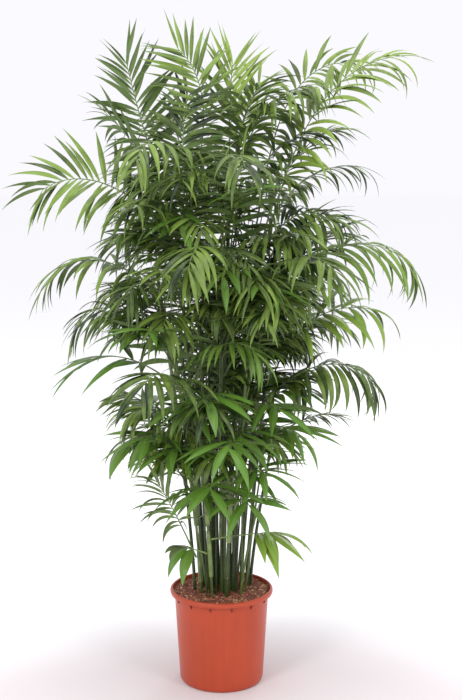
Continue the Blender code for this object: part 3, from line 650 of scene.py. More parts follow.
def chip_tree():
    """Bark chips scattered over the level top of the input body, which stays under them.

    Each chip is a stone drawn out to a sliver and pushed out of shape, with its own shade."""
    tree, given, result = new_tree("Bark chips", {
        "Density": "Float", "Size": "Float", "Seed": "Int", "Material": "Material"})
    top = add(tree, "GeometryNodeInputNormal")
    up = add(tree, "ShaderNodeSeparateXYZ", top)
    level = add(tree, MATH, up.outputs["Z"], 0.6, operation="GREATER_THAN")
    seed = given.outputs["Seed"]
    spots = add(tree, "GeometryNodeDistributePointsOnFaces",
                {"Mesh": given.outputs["Geometry"], "Selection": level,
                 "Density": given.outputs["Density"], "Seed": seed})
    shade = add(tree, "FunctionNodeRandomValue", {2: 0.0, 3: 1.0, "Seed": seed}, data_type="FLOAT")
    marked = add(tree, STORE, {"Geometry": spots, "Name": "chip", "Value": shade.outputs[1]},
                 data_type="FLOAT", domain="POINT")
    stone = add(tree, "GeometryNodeMeshIcoSphere", {"Radius": 0.5, "Subdivisions": 1})
    spin = add(tree, "FunctionNodeRandomValue",
               {0: (-0.5, -0.5, 0.0), 1: (0.5, 0.5, 6.283), "Seed": seed}, data_type="FLOAT_VECTOR")
    spread = add(tree, "FunctionNodeRandomValue",
                 {0: (0.35, 0.25, 0.12), 1: (1.5, 0.8, 0.40), "Seed": seed}, data_type="FLOAT_VECTOR")
    size = add(tree, VECTOR, {0: spread.outputs[0], "Scale": given.outputs["Size"]}, operation="SCALE")
    chips = add(tree, "GeometryNodeInstanceOnPoints",
                {"Points": marked, "Instance": stone.outputs["Mesh"],
                 "Rotation": spin.outputs[0], "Scale": size})
    plain = add(tree, "GeometryNodeRealizeInstances", chips)
    place = add(tree, "GeometryNodeInputPosition")
    rough = add(tree, "ShaderNodeTexNoise", {"Vector": place, "Scale": 260.0, "Detail": 1.0})
    centred = add(tree, VECTOR, rough.outputs["Color"], (0.5, 0.5, 0.5), operation="SUBTRACT")
    push = add(tree, VECTOR, {0: centred, "Scale": 0.006}, operation="SCALE")
    broken = add(tree, "GeometryNodeSetPosition", {"Geometry": plain, "Offset": push})
    ground = add(tree, STORE, {"Geometry": given.outputs["Geometry"], "Name": "chip", "Value": 0.12},
                 data_type="FLOAT", domain="POINT")
    joined = add(tree, "GeometryNodeJoinGeometry", ground)
    tree.links.new(broken.outputs[0], joined.inputs[0])
    finish = add(tree, "GeometryNodeSetMaterial",
                 {"Geometry": joined, "Material": given.outputs["Material"]})
    tree.links.new(finish.outputs[0], result.inputs[0])
    return tree


def cane_tree():
    """A tube along the input line, as thick as its points say, with a pale ring at each joint."""
    tree, given, result = new_tree("Cane with joints", {
        "Sides": "Int", "Spacing": "Float", "Material": "Material", "Scar": "Material"})
    thick = add(tree, NAMED, {"Name": "thick"}, data_type="FLOAT").outputs["Attribute"]
    line = add(tree, "GeometryNodeMeshToCurve", given.outputs["Geometry"])
    section = add(tree, "GeometryNodeCurvePrimitiveCircle",
                  {"Resolution": given.outputs["Sides"], "Radius": 1.0})
    tube = add(tree, "GeometryNodeCurveToMesh",
               {"Curve": line, "Profile Curve": section.outputs["Curve"], "Scale": thick,
                "Fill Caps": True})
    skin = add(tree, "GeometryNodeSetMaterial",
               {"Geometry": tube, "Material": given.outputs["Material"]})
    joints = add(tree, "GeometryNodeCurveToPoints",
                 {"Curve": line, "Length": given.outputs["Spacing"]}, mode="LENGTH")
    hoop = add(tree, "GeometryNodeCurvePrimitiveCircle",
               {"Resolution": given.outputs["Sides"], "Radius": 1.02})
    cord = add(tree, "GeometryNodeCurvePrimitiveCircle", {"Resolution": 6, "Radius": 0.20})
    scar = add(tree, "GeometryNodeCurveToMesh",
               {"Curve": hoop.outputs["Curve"], "Profile Curve": cord.outputs["Curve"]})
    copies = add(tree, "GeometryNodeInstanceOnPoints",
                 {"Points": joints.outputs["Points"], "Instance": scar,
                  "Rotation": joints.outputs["Rotation"], "Scale": thick})
    plain = add(tree, "GeometryNodeRealizeInstances", copies)
    scars = add(tree, "GeometryNodeSetMaterial", {"Geometry": plain, "Material": given.outputs["Scar"]})
    joined = add(tree, "GeometryNodeJoinGeometry", skin)
    tree.links.new(scars.outputs[0], joined.inputs[0])
    tree.links.new(joined.outputs[0], result.inputs[0])
    return tree


def frond_tree():
    """Stalks along the input lines, and a leaflet on every point that has a reach for one.

    Each leaflet starts along its aim, bends towards its fall by its bend, and is turned about
    its own line from its facing towards level, so that its broad side shows."""
    tree, given, result = new_tree("Frond", {
        "Steps": "Int", "Fold": "Float", "Thickness": "Float",
        "Stalk": "Material", "Leaf": "Material"})
    values = {name: add(tree, NAMED, {"Name": name}, data_type="FLOAT").outputs["Attribute"]
              for name in ("thick", "reach", "half", "bend", "facing", "turn")}
    vectors = {name: add(tree, NAMED, {"Name": name}, data_type="FLOAT_VECTOR").outputs["Attribute"]
               for name in ("root", "aim", "fall", "form")}

    line = add(tree, "GeometryNodeMeshToCurve", given.outputs["Geometry"])
    section = add(tree, "GeometryNodeCurvePrimitiveCircle", {"Resolution": 7, "Radius": 1.0})
    tube = add(tree, "GeometryNodeCurveToMesh",
               {"Curve": line, "Profile Curve": section.outputs["Curve"], "Scale": values["thick"],
                "Fill Caps": True})
    stalk = add(tree, "GeometryNodeSetMaterial", {"Geometry": tube, "Material": given.outputs["Stalk"]})

    # one leaflet, a unit long, a diamond in section
    straight = add(tree, "GeometryNodeCurvePrimitiveLine",
                   {"Start": (0.0, 0.0, 0.0), "End": (1.0, 0.0, 0.0)})
    stepped = add(tree, "GeometryNodeResampleCurve",
                  {"Curve": straight, "Count": given.outputs["Steps"]})
    share = add(tree, "GeometryNodeSplineParameter").outputs["Factor"]
    outline = add(tree, "ShaderNodeFloatCurve", {"Value": share})
    curve = outline.mapping.curves[0]
    curve.points[0].location = (0.0, 0.16)
    curve.points[1].location = (1.0, 0.02)
    for at, width in ((0.10, 0.56), (0.28, 0.93), (0.45, 1.0), (0.65, 0.80), (0.84, 0.40)):
        curve.points.new(at, width)
    outline.mapping.update()
    diamond = add(tree, "GeometryNodeCurvePrimitiveCircle", {"Resolution": 4, "Radius": 1.0})
    blade = add(tree, "GeometryNodeCurveToMesh",
                {"Curve": stepped, "Profile Curve": diamond.outputs["Curve"], "Scale": outline,
                 "Fill Caps": True})
    place = add(tree, "GeometryNodeInputPosition")
    leaflet = add(tree, STORE, {"Geometry": blade, "Name": "form", "Value": place},
                  data_type="FLOAT_VECTOR", domain="POINT")

    long_enough = add(tree, MATH, values["reach"], 0.001, operation="GREATER_THAN")
    roots = add(tree, "GeometryNodeMeshToPoints",
                {"Mesh": given.outputs["Geometry"], "Selection": long_enough})
    copies = add(tree, "GeometryNodeInstanceOnPoints", {"Points": roots, "Instance": leaflet})
    plain = add(tree, "GeometryNodeRealizeInstances", copies)

    # the middle line of each leaflet is an arc that turns from its aim towards its fall
    along, across, raised = add(tree, "ShaderNodeSeparateXYZ", vectors["form"]).outputs
    angle = add(tree, MATH, values["bend"], along, operation="MULTIPLY")
    sine = add(tree, MATH, angle, operation="SINE")
    cosine = add(tree, MATH, angle, operation="COSINE")
    ahead = add(tree, MATH, sine, values["bend"], operation="DIVIDE")
    uncos = add(tree, MATH, 1.0, cosine, operation="SUBTRACT")
    down = add(tree, MATH, uncos, values["bend"], operation="DIVIDE")
    level = add(tree, VECTOR, vectors["aim"], vectors["fall"], operation="CROSS_PRODUCT")
    run = add(tree, VECTOR, {0: vectors["aim"], "Scale": ahead}, operation="SCALE")
    drop = add(tree, VECTOR, {0: vectors["fall"], "Scale": down}, operation="SCALE")
    path = add(tree, VECTOR, run, drop, operation="ADD")
    reached = add(tree, VECTOR, {0: path, "Scale": values["reach"]}, operation="SCALE")
    centre = add(tree, VECTOR, vectors["root"], reached, operation="ADD")
    # the way the blade faces, before it is turned: away from the fall, square to the bent line
    back = add(tree, VECTOR, {0: vectors["aim"], "Scale": sine}, operation="SCALE")
    over = add(tree, VECTOR, {0: vectors["fall"], "Scale": cosine}, operation="SCALE")
    face = add(tree, VECTOR, back, over, operation="SUBTRACT")
    # it leaves the rachis edge on, and turns level and by its own turn on the way to its tip
    untwist = add(tree, RANGE, {"Value": along, "To Min": 1.0, "To Max": 0.35})
    start = add(tree, MATH, values["facing"], untwist, operation="MULTIPLY")
    twist = add(tree, MATH, values["turn"], along, start, operation="MULTIPLY_ADD")
    cos_twist = add(tree, MATH, twist, operation="COSINE")
    sin_twist = add(tree, MATH, twist, operation="SINE")
    level_cos = add(tree, VECTOR, {0: level, "Scale": cos_twist}, operation="SCALE")
    face_sin = add(tree, VECTOR, {0: face, "Scale": sin_twist}, operation="SCALE")
    edge = add(tree, VECTOR, level_cos, face_sin, operation="ADD")
    face_cos = add(tree, VECTOR, {0: face, "Scale": cos_twist}, operation="SCALE")
    level_sin = add(tree, VECTOR, {0: level, "Scale": sin_twist}, operation="SCALE")
    normal = add(tree, VECTOR, face_cos, level_sin, operation="SUBTRACT")
    # the section is a thin diamond with its edges folded down
    sideways = add(tree, MATH, across, values["half"], operation="MULTIPLY")
    aside = add(tree, VECTOR, {0: edge, "Scale": sideways}, operation="SCALE")
    outward = add(tree, MATH, sideways, operation="ABSOLUTE")
    folded = add(tree, MATH, outward, given.outputs["Fold"], operation="MULTIPLY")
    lifted = add(tree, MATH, raised, given.outputs["Thickness"], operation="MULTIPLY")
    height = add(tree, MATH, lifted, folded, operation="SUBTRACT")
    above = add(tree, VECTOR, {0: normal, "Scale": height}, operation="SCALE")
    wide = add(tree, VECTOR, centre, aside, operation="ADD")
    final = add(tree, VECTOR, wide, above, operation="ADD")
    bent = add(tree, "GeometryNodeSetPosition", {"Geometry": plain, "Position": final})
    leaves = add(tree, "GeometryNodeSetMaterial", {"Geometry": bent, "Material": given.outputs["Leaf"]})
    joined = add(tree, "GeometryNodeJoinGeometry", stalk)
    tree.links.new(leaves.outputs[0], joined.inputs[0])
    tree.links.new(joined.outputs[0], result.inputs[0])
    return tree


# ---------------------------------------------------------------- growth

def cane_share(cane, height):
    return max(0.0, (height - SOIL_TOP) / (cane.top_z - SOIL_TOP))


def cane_centre(cane, height):
    share = cane_share(cane, height) ** CANE_BOW
    return Vector((cane.foot_x + (cane.top_x - cane.foot_x) * share,
                   cane.foot_y + (cane.top_y - cane.foot_y) * share, height))


def cane_radius(cane, height):
    return CANE_BASE_RADIUS + (CANE_TOP_RADIUS - CANE_BASE_RADIUS) * cane_share(cane, height)


Station = namedtuple("Station", "point along side up")


def frond_spine(frond):
    """Stations at equal steps along the petiole and rachis, each with its own three directions."""
    cane = CANES[frond.cane - 1]
    turn = math.radians(frond.heading)
    heading = Vector((math.cos(turn), math.sin(turn), 0.0))
    side = Vector((-math.sin(turn), math.cos(turn), 0.0))
    roll = math.radians(frond.roll)
    out = cane_radius(cane, frond.height) + PETIOLE_RADIUS
    point = cane_centre(cane, frond.height) + heading * out
    step = frond.length / (SPINE_STATIONS - 1)
    stations = []
    for k in range(SPINE_STATIONS):
        share = k / (SPINE_STATIONS - 1)
        slope = math.radians(frond.rise + (frond.tip - frond.rise) * share ** frond.stiff)
        along = heading * math.cos(slope) + Vector((0.0, 0.0, math.sin(slope)))
        if stations:
            point = point + (along + stations[-1].along) * step / 2
        up = along.cross(side)
        stations.append(Station(point, along, side * math.cos(roll) + up * math.sin(roll),
                                up * math.cos(roll) - side * math.sin(roll)))
    return stations


FLOATS = ("thick", "reach", "half", "bend", "facing", "turn", "tint", "young", "fresh")
VECTORS = ("root", "aim", "fall")


class Lines:
    """Lines of points with the values that the cane and frond trees read."""

    def __init__(self):
        self.points = []
        self.edges = []
        self.values = {name: [] for name in FLOATS + VECTORS}

    def append(self, point, joined, **values):
        """A point at the end, joined to the one before it or not; what isn't given is zero."""
        if joined:
            self.edges.append((len(self.points) - 1, len(self.points)))
        self.points.append(point)
        for name in FLOATS:
            self.values[name].append(values.get(name, 0.0))
        for name in VECTORS:
            self.values[name].append(values.get(name, Vector()))

    def piece(self, name):
        """The lines as an object whose points carry the values as attributes."""
        mesh = bpy.data.meshes.new(name)
        mesh.from_pydata(self.points, self.edges, [])
        for key in FLOATS:
            mesh.attributes.new(key, "FLOAT", "POINT").data.foreach_set("value", self.values[key])
        for key in VECTORS:
            flat = [c for vector in self.values[key] for c in vector]
            mesh.attributes.new(key, "FLOAT_VECTOR", "POINT").data.foreach_set("vector", flat)
        piece = bpy.data.objects.new(name, mesh)
        bpy.context.scene.collection.objects.link(piece)
        return piece


def leaflet_values(settings, frond, station, share, hand, dice):
    """Where a leaflet starts, aims and falls to, and its size, bend and turn."""
    splay = settings.splay_foot + (settings.splay_tip - settings.splay_foot) * share ** 0.8
    splay = splay * frond.spread + dice.gauss(0.0, SPLAY_SPREAD)
    lift = math.radians(frond.vee) + dice.gauss(0.0, LIFT_SPREAD)
    out = station.side * hand * math.cos(lift) + station.up * math.sin(lift)
    aim = (station.along * math.cos(splay) + out * math.sin(splay)).normalized()
    down = Vector((0.0, 0.0, -1.0))
    fall = down - aim * aim.dot(down)
    slack = fall.length
    fall = fall.normalized() if slack > 1e-4 else aim.orthogonal().normalized()
    # leaflets are longest and widest near the middle of the blade, and shorten to its tip
    size = 0.62 + 0.38 * math.sin(math.pi * min(1.0, 0.2 + 0.62 * share))
    size *= 1.0 - 0.12 * share ** 3
    width = 0.75 + 0.25 * math.sin(math.pi * share)
    broad = frond.width >= YOUNG_WIDTH
    limpness = settings.limper * (BROAD_LIMPNESS if broad else 1.0)
    slimness = 1.0 if broad else settings.wider
    # at its foot the edge of the leaflet lies along the rachis, and it faces upwards
    level = aim.cross(fall)
    edge = station.along - aim * station.along.dot(aim)
    if edge.dot(level) < 0:
        edge = -edge
    facing = math.atan2(edge.dot(-fall), edge.dot(level))
    return {
        "root": station.point, "aim": aim, "fall": fall, "facing": facing,
        "reach": frond.leaf * size * settings.longer * dice.uniform(*LENGTH_RANGE),
        "half": frond.width * width * slimness / 2 * dice.uniform(*WIDTH_RANGE),
        "bend": max(LEAST_BEND, frond.hang * slack * limpness * dice.uniform(*BEND_RANGE)),
        "turn": dice.gauss(0.0, TURN_SPREAD), "tint": dice.uniform(0.0, 1.0),
    }


def sheath(lines, cane, height):
    """The swollen foot of a leaf stalk, wrapped round the cane, mostly under a height."""
    steps = 6
    low = height - SHEATH_LENGTH * 0.75
    for k in range(steps + 1):
        place = low + SHEATH_LENGTH * k / steps
        swell = 0.0004 + 0.0011 * math.sin(math.pi * min(1.0, 0.25 + k / (steps + 1)))
        lines.append(cane_centre(cane, place), k > 0, thick=cane_radius(cane, place) + swell)


def add_frond(lines, settings, frond, dice):
    """One frond: its sheath on the cane, its stalk, and a point for every leaflet."""
    broad = frond.width >= YOUNG_WIDTH
    sheath(lines, CANES[frond.cane - 1], frond.height)
    stations = frond_spine(frond)
    leaflets = max(4, round(frond.pairs * 2 * (1.0 if broad else settings.fullness)))
    petiole = [frond.petiole * k / 8 for k in range(9)]
    blade = [frond.petiole + (1 - frond.petiole) * (k + 0.5) / leaflets for k in range(leaflets)]
    tone = dice.uniform(-TONE_SPREAD, TONE_SPREAD)
    young = 1.0 if broad else 0.0
    if not broad and dice.random() < YOUNG_CHANCE:
        young = YOUNG_TONE
    for k, share in enumerate(petiole + blade):
        station = stations[round(share * (SPINE_STATIONS - 1))]
        thick = PETIOLE_RADIUS + (RACHIS_TIP_RADIUS - PETIOLE_RADIUS) * share
        values = {}
        leaflet = k - len(petiole)
        if leaflet >= 0:
            hand = 1 if leaflet % 2 else -1
            values = leaflet_values(settings, frond, station, (leaflet + 0.5) / leaflets, hand, dice)
            values["tint"] = min(1.0, max(0.0, values["tint"] * 0.85 + 0.05 + tone))
            values["young"] = young * dice.uniform(0.6, 1.0)
            values["fresh"] = frond.fresh * dice.uniform(0.6, 1.4)
        lines.append(station.point, k > 0, thick=thick, **values)


def room_at(height, heading):
    """How far from the middle leaves may reach at a height, for a heading in radians."""
    heights = [row[0] for row in ENVELOPE]
    height = min(max(height, heights[0]), heights[-1])
    above = next(k for k, z in enumerate(heights) if z >= height)
    low, high = ENVELOPE[max(0, above - 1)], ENVELOPE[above]
    share = (height - low[0]) / max(1e-6, high[0] - low[0])
    left, right = (a + (b - a) * share for a, b in zip(low[1:], high[1:]))
    rightness = (1.0 + math.cos(heading)) / 2
    return (left + (right - left) * rightness) * (1.0 + 0.25 * abs(math.sin(heading)))


def inner_frond(number, dice):
    """A frond for the inside of the clump, as long as the clump has room for that way."""
    tall = [k for k, cane in enumerate(CANES, 1) if cane.top_z > INNER_CANE]
    cane_number = tall[number % len(tall)]
    cane = CANES[cane_number - 1]
    share = (number * GOLDEN + 0.31) % 1.0
    height = INNER_LOWEST + (cane.top_z - INNER_LOWEST - 0.02) * share ** 0.55
    heading = math.radians(number * GOLDEN_TURN) + dice.uniform(-0.35, 0.35)
    rise = dice.uniform(*INNER_RISE)
    tip = dice.uniform(*INNER_TIP)
    start = cane_centre(cane, height)
    outward = (start.x + 0.01) * math.cos(heading) + start.y * math.sin(heading)
    mean_slope = math.radians((rise * 2 + tip) / 3)
    # its leaflets shrink where there is little room, and its stalk takes what they leave;
    # most of the frond is some 0.16 m above its foot
    room = room_at(height + 0.16, heading) - outward
    leaf = dice.uniform(*INNER_LEAF) * min(1.0, max(0.55, room / 0.22))
    level_length = room - leaf * 0.4
    shortest, longest = INNER_LENGTH
    length = min(longest, max(shortest, level_length / max(0.35, math.cos(mean_slope))))
    broad = dice.random() < INNER_BROAD
    petiole = dice.uniform(*INNER_PETIOLE)
    width = YOUNG_WIDTH if broad else dice.uniform(*INNER_WIDTH)
    pairs = 5 if broad else round(6 + length * 5)
    return Frond(cane_number, height, math.degrees(heading), rise, tip, length, petiole, pairs,
                 leaf, width, dice.uniform(0, 12), dice.uniform(0.5, 1.1))


# ---------------------------------------------------------------- pieces

def turned(name, profile, sides):
    """A closed turned body from (radius, height) points that start and end on the axis."""
    bm = bmesh.new()
    cover(bm, [ring(bm, sides, radius, height) for radius, height in profile], sides)
    bmesh.ops.recalc_face_normals(bm, faces=bm.faces)
    return new_object(name, bm)


def rounded(profile, radius, steps=3):
    """The profile with a small arc at each corner between its two ends."""
    corners = [Vector(point) for point in profile]
    path = [corners[0]]
    for before, corner, after in zip(corners, corners[1:], corners[2:]):
        back, ahead = before - corner, after - corner
        cut = min(radius, back.length * 0.45, ahead.length * 0.45)
        start, end = corner + back.normalized() * cut, corner + ahead.normalized() * cut
        for k in range(steps + 1):
            t = k / steps
            path.append(start * (1 - t) ** 2 + corner * 2 * t * (1 - t) + end * t ** 2)
    path.append(corners[-1])
    return [tuple(point) for point in path]


def wall_radius(height):
    return BASE_RADIUS + (BODY_TOP_RADIUS - BASE_RADIUS) * height / SHOULDER_HEIGHT


def pot_profile():
    """The pot's section from the middle of its underside, round the band, to its inside floor."""
    foot = BASE_RADIUS - 0.006
    band_bottom = POT_HEIGHT - BAND_HEIGHT
    inside = BODY_TOP_RADIUS - WALL
    return (
        (0.0, 0.0),
        (PAD_RADIUS, 0.0),
        (PAD_RADIUS + 0.002, FLOOR_HEIGHT),
        (foot - FOOT_WIDTH - 0.002, FLOOR_HEIGHT),
        (foot - FOOT_WIDTH, 0.0),
        (foot, 0.0),
        (BASE_RADIUS - 0.0015, 0.004),
        (wall_radius(0.012), 0.012),
        (BODY_TOP_RADIUS, SHOULDER_HEIGHT),
        (BODY_TOP_RADIUS + 0.0005, band_bottom),
        (RIM_RADIUS - 0.0015, band_bottom),
        (RIM_RADIUS, band_bottom + 0.004),
        (RIM_RADIUS, POT_HEIGHT - 0.004),
        (RIM_RADIUS - 0.0035, POT_HEIGHT),
        (MOUTH_RADIUS + 0.0015, POT_HEIGHT),
        (MOUTH_RADIUS, POT_HEIGHT - 0.002),
        (MOUTH_RADIUS, band_bottom + WALL + 0.0015),
        (inside + 0.0005, band_bottom + WALL),
        (BASE_RADIUS - WALL, FLOOR_HEIGHT + FLOOR_THICKNESS + 0.003),
        (BASE_RADIUS - WALL - 0.003, FLOOR_HEIGHT + FLOOR_THICKNESS),
        (0.0, FLOOR_HEIGHT + FLOOR_THICKNESS),
    )


def cut_holes(pot):
    """The drain holes, in a circle through the floor."""
    bm = bmesh.new()
    for k in range(HOLE_COUNT):
        angle = 2 * math.pi * k / HOLE_COUNT
        hole = bmesh.ops.create_cone(bm, cap_ends=True, segments=24, radius1=HOLE_RADIUS,
                                     radius2=HOLE_RADIUS, depth=0.02)["verts"]
        offset = (HOLE_CIRCLE * math.cos(angle), HOLE_CIRCLE * math.sin(angle), FLOOR_HEIGHT)
        bmesh.ops.translate(bm, verts=hole, vec=offset)
    cutter = new_object("drain_guide", bm)
    modifier = pot.modifiers.new("drain", "BOOLEAN")
    modifier.operation = "DIFFERENCE"
    modifier.object = cutter
    make_plain(pot)
    bpy.data.objects.remove(cutter)


def rib_body(settings):
    """One gusset that stands on the wall at the front and widens up to the band."""
    top = POT_HEIGHT - BAND_HEIGHT + RIB_OVERLAP
    bottom = top - settings.rib_height
    reach = BODY_TOP_RADIUS + settings.rib_reach
    side_view = ((wall_radius(bottom) - RIB_OVERLAP, bottom), (wall_radius(bottom) + 0.0012, bottom),
                 (reach, top - 0.003), (reach, top), (BODY_TOP_RADIUS - RIB_OVERLAP, top))
    bm = bmesh.new()
    flat = [bm.verts.new((-settings.rib_thickness / 2, -r, z)) for r, z in side_view]
    far = bmesh.ops.extrude_face_region(bm, geom=[bm.faces.new(flat)])["geom"]
    moved = [v for v in far if isinstance(v, bmesh.types.BMVert)]
    bmesh.ops.translate(bm, verts=moved, vec=(settings.rib_thickness, 0.0, 0.0))
    bmesh.ops.recalc_face_normals(bm, faces=bm.faces)
    bmesh.ops.bevel(bm, geom=bm.edges, offset=0.0004, segments=2, affect="EDGES")
    return new_object("pot_ribs", bm)


class PALM_OT_pot(bpy.types.Operator):
    """Turn the pot with its band and foot, drill its floor and set the ribs under the band"""
    bl_idname = "palm.pot"
    bl_label = "Pot"

    def execute(self, context):
        settings = context.scene.palm_pot
        pot = turned("nursery_pot", rounded(pot_profile(), POT_ROUNDING), POT_SIDES)
        cut_holes(pot)
        pot.data.materials.append(terracotta_plastic(settings))
        pot.data.shade_smooth()
        pot.data.set_sharp_from_angle(angle=math.radians(35))
        settle(pot, "terracotta_plastic", "pot")
        # the ribs get a darker copy of the plastic, painted shade under the band
        ribs = grow(rib_body(settings), rib_tree(), {
            "Count": settings.ribs, "Material": terracotta_plastic(settings, settings.rib_painted_shade)})
        settle(ribs, "terracotta_plastic")
        return {"FINISHED"}


def soil_body():
    """The mix that shows: lumpy on top, level where it meets the pot, down to the ledge."""
    edge = MOUTH_RADIUS - 0.0010
    under = POT_HEIGHT - BAND_HEIGHT + WALL + 0.0010
    bm = bmesh.new()
    rings = []
    for number in range(SOIL_RINGS + 1):
        share = number / SOIL_RINGS
        circle = ring(bm, SOIL_SIDES, edge * share, SOIL_LEVEL)
        if number > 0:
            for vertex in circle:
                flat = Vector((vertex.co.x, vertex.co.y, 0.0))
                lump = noise.fractal(flat * 60, 1.0, 2.0, 4) * 0.0015
                vertex.co.z += lump * (1.0 - 0.85 * share ** 6) - 0.0008 * share ** 2
        rings.append(circle)
    rings.append(ring(bm, SOIL_SIDES, edge, under))
    rings.append(ring(bm, SOIL_SIDES, 0.0, under))
    cover(bm, rings, SOIL_SIDES)
    bmesh.ops.recalc_face_normals(bm, faces=bm.faces)
    return new_object("bark_soil", bm)


class PALM_OT_soil(bpy.types.Operator):
    """Mound the bark mix in the pot and scatter chips over it"""
    bl_idname = "palm.soil"
    bl_label = "Soil"

    def execute(self, context):
        settings = context.scene.palm_soil
        soil = grow(soil_body(), chip_tree(), {
            "Density": float(settings.chips), "Size": settings.chip_size, "Seed": settings.seed,
            "Material": bark_mix(settings)})
        settle(soil, "bark_mix", "soil")
        return {"FINISHED"}


def cane_lines(number, cane):
    """The line of one cane, each a little stouter and paler than another."""
    lines = Lines()
    low = SOIL_TOP - CANE_HIDDEN
    steps = round((cane.top_z - low) / CANE_STEP)
    stout = 0.66 + 0.36 * (number * GOLDEN % 1.0)
    tint = 0.9 * (number * GOLDEN_REST % 1.0) ** 2
    for k in range(steps + 1):
        height = low + (cane.top_z - low) * k / steps
        thick = cane_radius(cane, height) * (1.0 if k < steps else 0.4) * stout
        lines.append(cane_centre(cane, height), k > 0, thick=thick, tint=tint)
    return lines


def shoot_lines(settings):
    """The lines of all the thin shoots, which stand close together and lean a little outwards."""
    dice = random.Random(settings.seed)
    lines = Lines()
    low = SOIL_TOP - 0.02
    for _ in range(settings.shoots):
        foot = Vector((dice.gauss(-0.004, 0.026), dice.gauss(0.0, 0.028), 0.0))
        lean = Vector((foot.x * dice.uniform(0.3, 1.3), foot.y * dice.uniform(0.3, 1.2), 0.0))
        lean += Vector((dice.gauss(0, 0.018), dice.gauss(0, 0.018), 0.0))
        top = dice.uniform(0.50, 1.05)
        girth = dice.uniform(0.0018, 0.0040)
        tint = dice.random() ** 3
        for k in range(SHOOT_STEPS + 1):
            share = k / SHOOT_STEPS
            place = foot + lean * share ** 1.2 + Vector((0.0, 0.0, low + (top - low) * share))
            lines.append(place, k > 0, thick=girth * (1.0 - 0.45 * share), tint=tint)
    return lines


class PALM_OT_canes(bpy.types.Operator):
    """Grow the clump of slender canes, with a pale ring at each joint, and the thin shoots in it"""
    bl_idname = "palm.canes"
    bl_label = "Canes"

    def execute(self, context):
        settings = context.scene.palm_cane
        tree = cane_tree()
        finish = {"Material": cane_skin(settings), "Scar": leaf_scar(settings)}
        for number, cane in enumerate(CANES, 1):
            spacing = settings.spacing * (0.85 + 0.03 * (number % 11))
            piece = grow(cane_lines(number, cane).piece(f"jointed_cane_{number:02d}"), tree,
                         {"Sides": settings.sides, "Spacing": spacing, **finish})
            settle(piece, "cane", f"cane_{number:02d}")
        shoots = grow(shoot_lines(settings).piece("thin_shoots"), tree,
                      {"Sides": 8, "Spacing": settings.spacing * 1.4, **finish})
        settle(shoots, "cane")
        return {"FINISHED"}


class PALM_OT_fronds(bpy.types.Operator):
    """Grow the solid model's fronds with all their curved leaflets, and more inside the clump"""
    bl_idname = "palm.fronds"
    bl_label = "Fronds"

    def execute(self, context):
        settings = context.scene.palm_frond
        tree = frond_tree()
        values = {"Steps": settings.steps, "Fold": settings.fold, "Thickness": settings.thickness,
                  "Leaf": leaf_skin(settings), "Stalk": petiole_skin(settings)}
        for number, frond in enumerate(FRONDS, 1):
            lines = Lines()
            add_frond(lines, settings, frond, random.Random(settings.seed * 1000 + number))
            piece = grow(lines.piece(f"feather_frond_{number:02d}"), tree, values, FROND_SHARP)
            slot = "young_leaf" if frond.width >= YOUNG_WIDTH else "leaf"
            settle(piece, slot, f"frond_{number:02d}")
        dice = random.Random(settings.seed)
        inner = list(MORE_FRONDS) + [inner_frond(number, dice) for number in range(settings.inner)]
        for band, first in enumerate(range(0, len(inner), BAND_OF_FRONDS), 1):
            lines = Lines()
            for frond in inner[first:first + BAND_OF_FRONDS]:
                add_frond(lines, settings, frond, dice)
            settle(grow(lines.piece(f"inner_fronds_{band}"), tree, values, FROND_SHARP), "leaf")
        return {"FINISHED"}


def aimed(name, data, place, target):
    """An object at a place that looks at a target."""
    holder = bpy.data.objects.new(name, data)
    holder.location = place
    holder.rotation_euler = (Vector(target) - Vector(place)).to_track_quat("-Z", "Y").to_euler()
    bpy.context.scene.collection.objects.link(holder)
    return holder


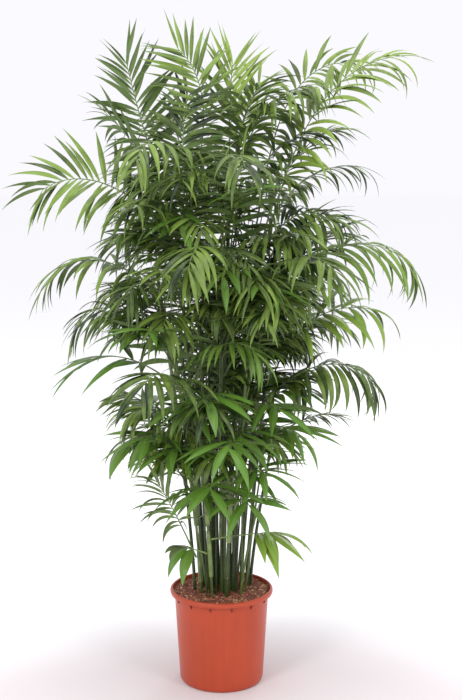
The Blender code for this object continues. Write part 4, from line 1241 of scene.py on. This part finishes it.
class PALM_OT_stage(bpy.types.Operator):
    """Lay the pale studio floor, and set the lamps, the soft light all around and the camera"""
    bl_idname = "palm.stage"
    bl_label = "Stage"

    def execute(self, context):
        settings = context.scene.palm_stage
        bm = bmesh.new()
        rings = [ring(bm, FLOOR_SIDES, radius, 0.0) for radius in (*FLOOR_RINGS, settings.radius)]
        cover(bm, rings, FLOOR_SIDES)
        floor = new_object("studio_floor", bm)
        floor.data.shade_smooth()
        floor.data.materials.append(studio_paper(settings))

        for lamp in LAMPS:
            light = bpy.data.lights.new(lamp.name, "AREA")
            light.shape = "DISK"
            light.size = lamp.width
            light.energy = lamp.power
            aimed(lamp.name, light, lamp.place, lamp.target)

        world = bpy.data.worlds.new("soft_white")
        world.use_nodes = True
        world.node_tree.nodes["Background"].inputs["Color"].default_value = opaque(settings.air)
        context.scene.world = world
        context.scene.view_settings.view_transform = "Standard"

        camera = bpy.data.cameras.new("camera")
        camera.lens = CAMERA_LENS
        camera.sensor_width = CAMERA_SENSOR
        context.scene.camera = aimed("camera", camera, CAMERA_PLACE, CAMERA_TARGET)
        return {"FINISHED"}


class PALM_PT_panel(bpy.types.Panel):
    """Lists the palm's pieces with their settings"""
    bl_idname = "PALM_PT_panel"
    bl_label = "Potted Palm"
    bl_space_type = "VIEW_3D"
    bl_region_type = "UI"
    bl_category = "Palm"

    def draw(self, context):
        for operator, name, group in PIECES:
            box = self.layout.box()
            for setting in group.__annotations__:
                box.prop(getattr(context.scene, name), setting)
            box.operator(operator.bl_idname)


PIECES = (
    (PALM_OT_stage, "palm_stage", PalmStageSettings),
    (PALM_OT_pot, "palm_pot", PalmPotSettings),
    (PALM_OT_soil, "palm_soil", PalmSoilSettings),
    (PALM_OT_canes, "palm_cane", PalmCaneSettings),
    (PALM_OT_fronds, "palm_frond", PalmFrondSettings),
)


def register():
    for operator, name, group in PIECES:
        bpy.utils.register_class(group)
        setattr(bpy.types.Scene, name, PointerProperty(type=group))
        bpy.utils.register_class(operator)
    bpy.utils.register_class(PALM_PT_panel)


def unregister():
    bpy.utils.unregister_class(PALM_PT_panel)
    for operator, name, group in reversed(PIECES):
        bpy.utils.unregister_class(operator)
        delattr(bpy.types.Scene, name)
        bpy.utils.unregister_class(group)


def main():
    register()
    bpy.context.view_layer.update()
    bpy.ops.palm.stage()
    bpy.ops.palm.pot()
    bpy.ops.palm.soil()
    bpy.ops.palm.canes()
    bpy.ops.palm.fronds()


if __name__ == "__main__":
    main()
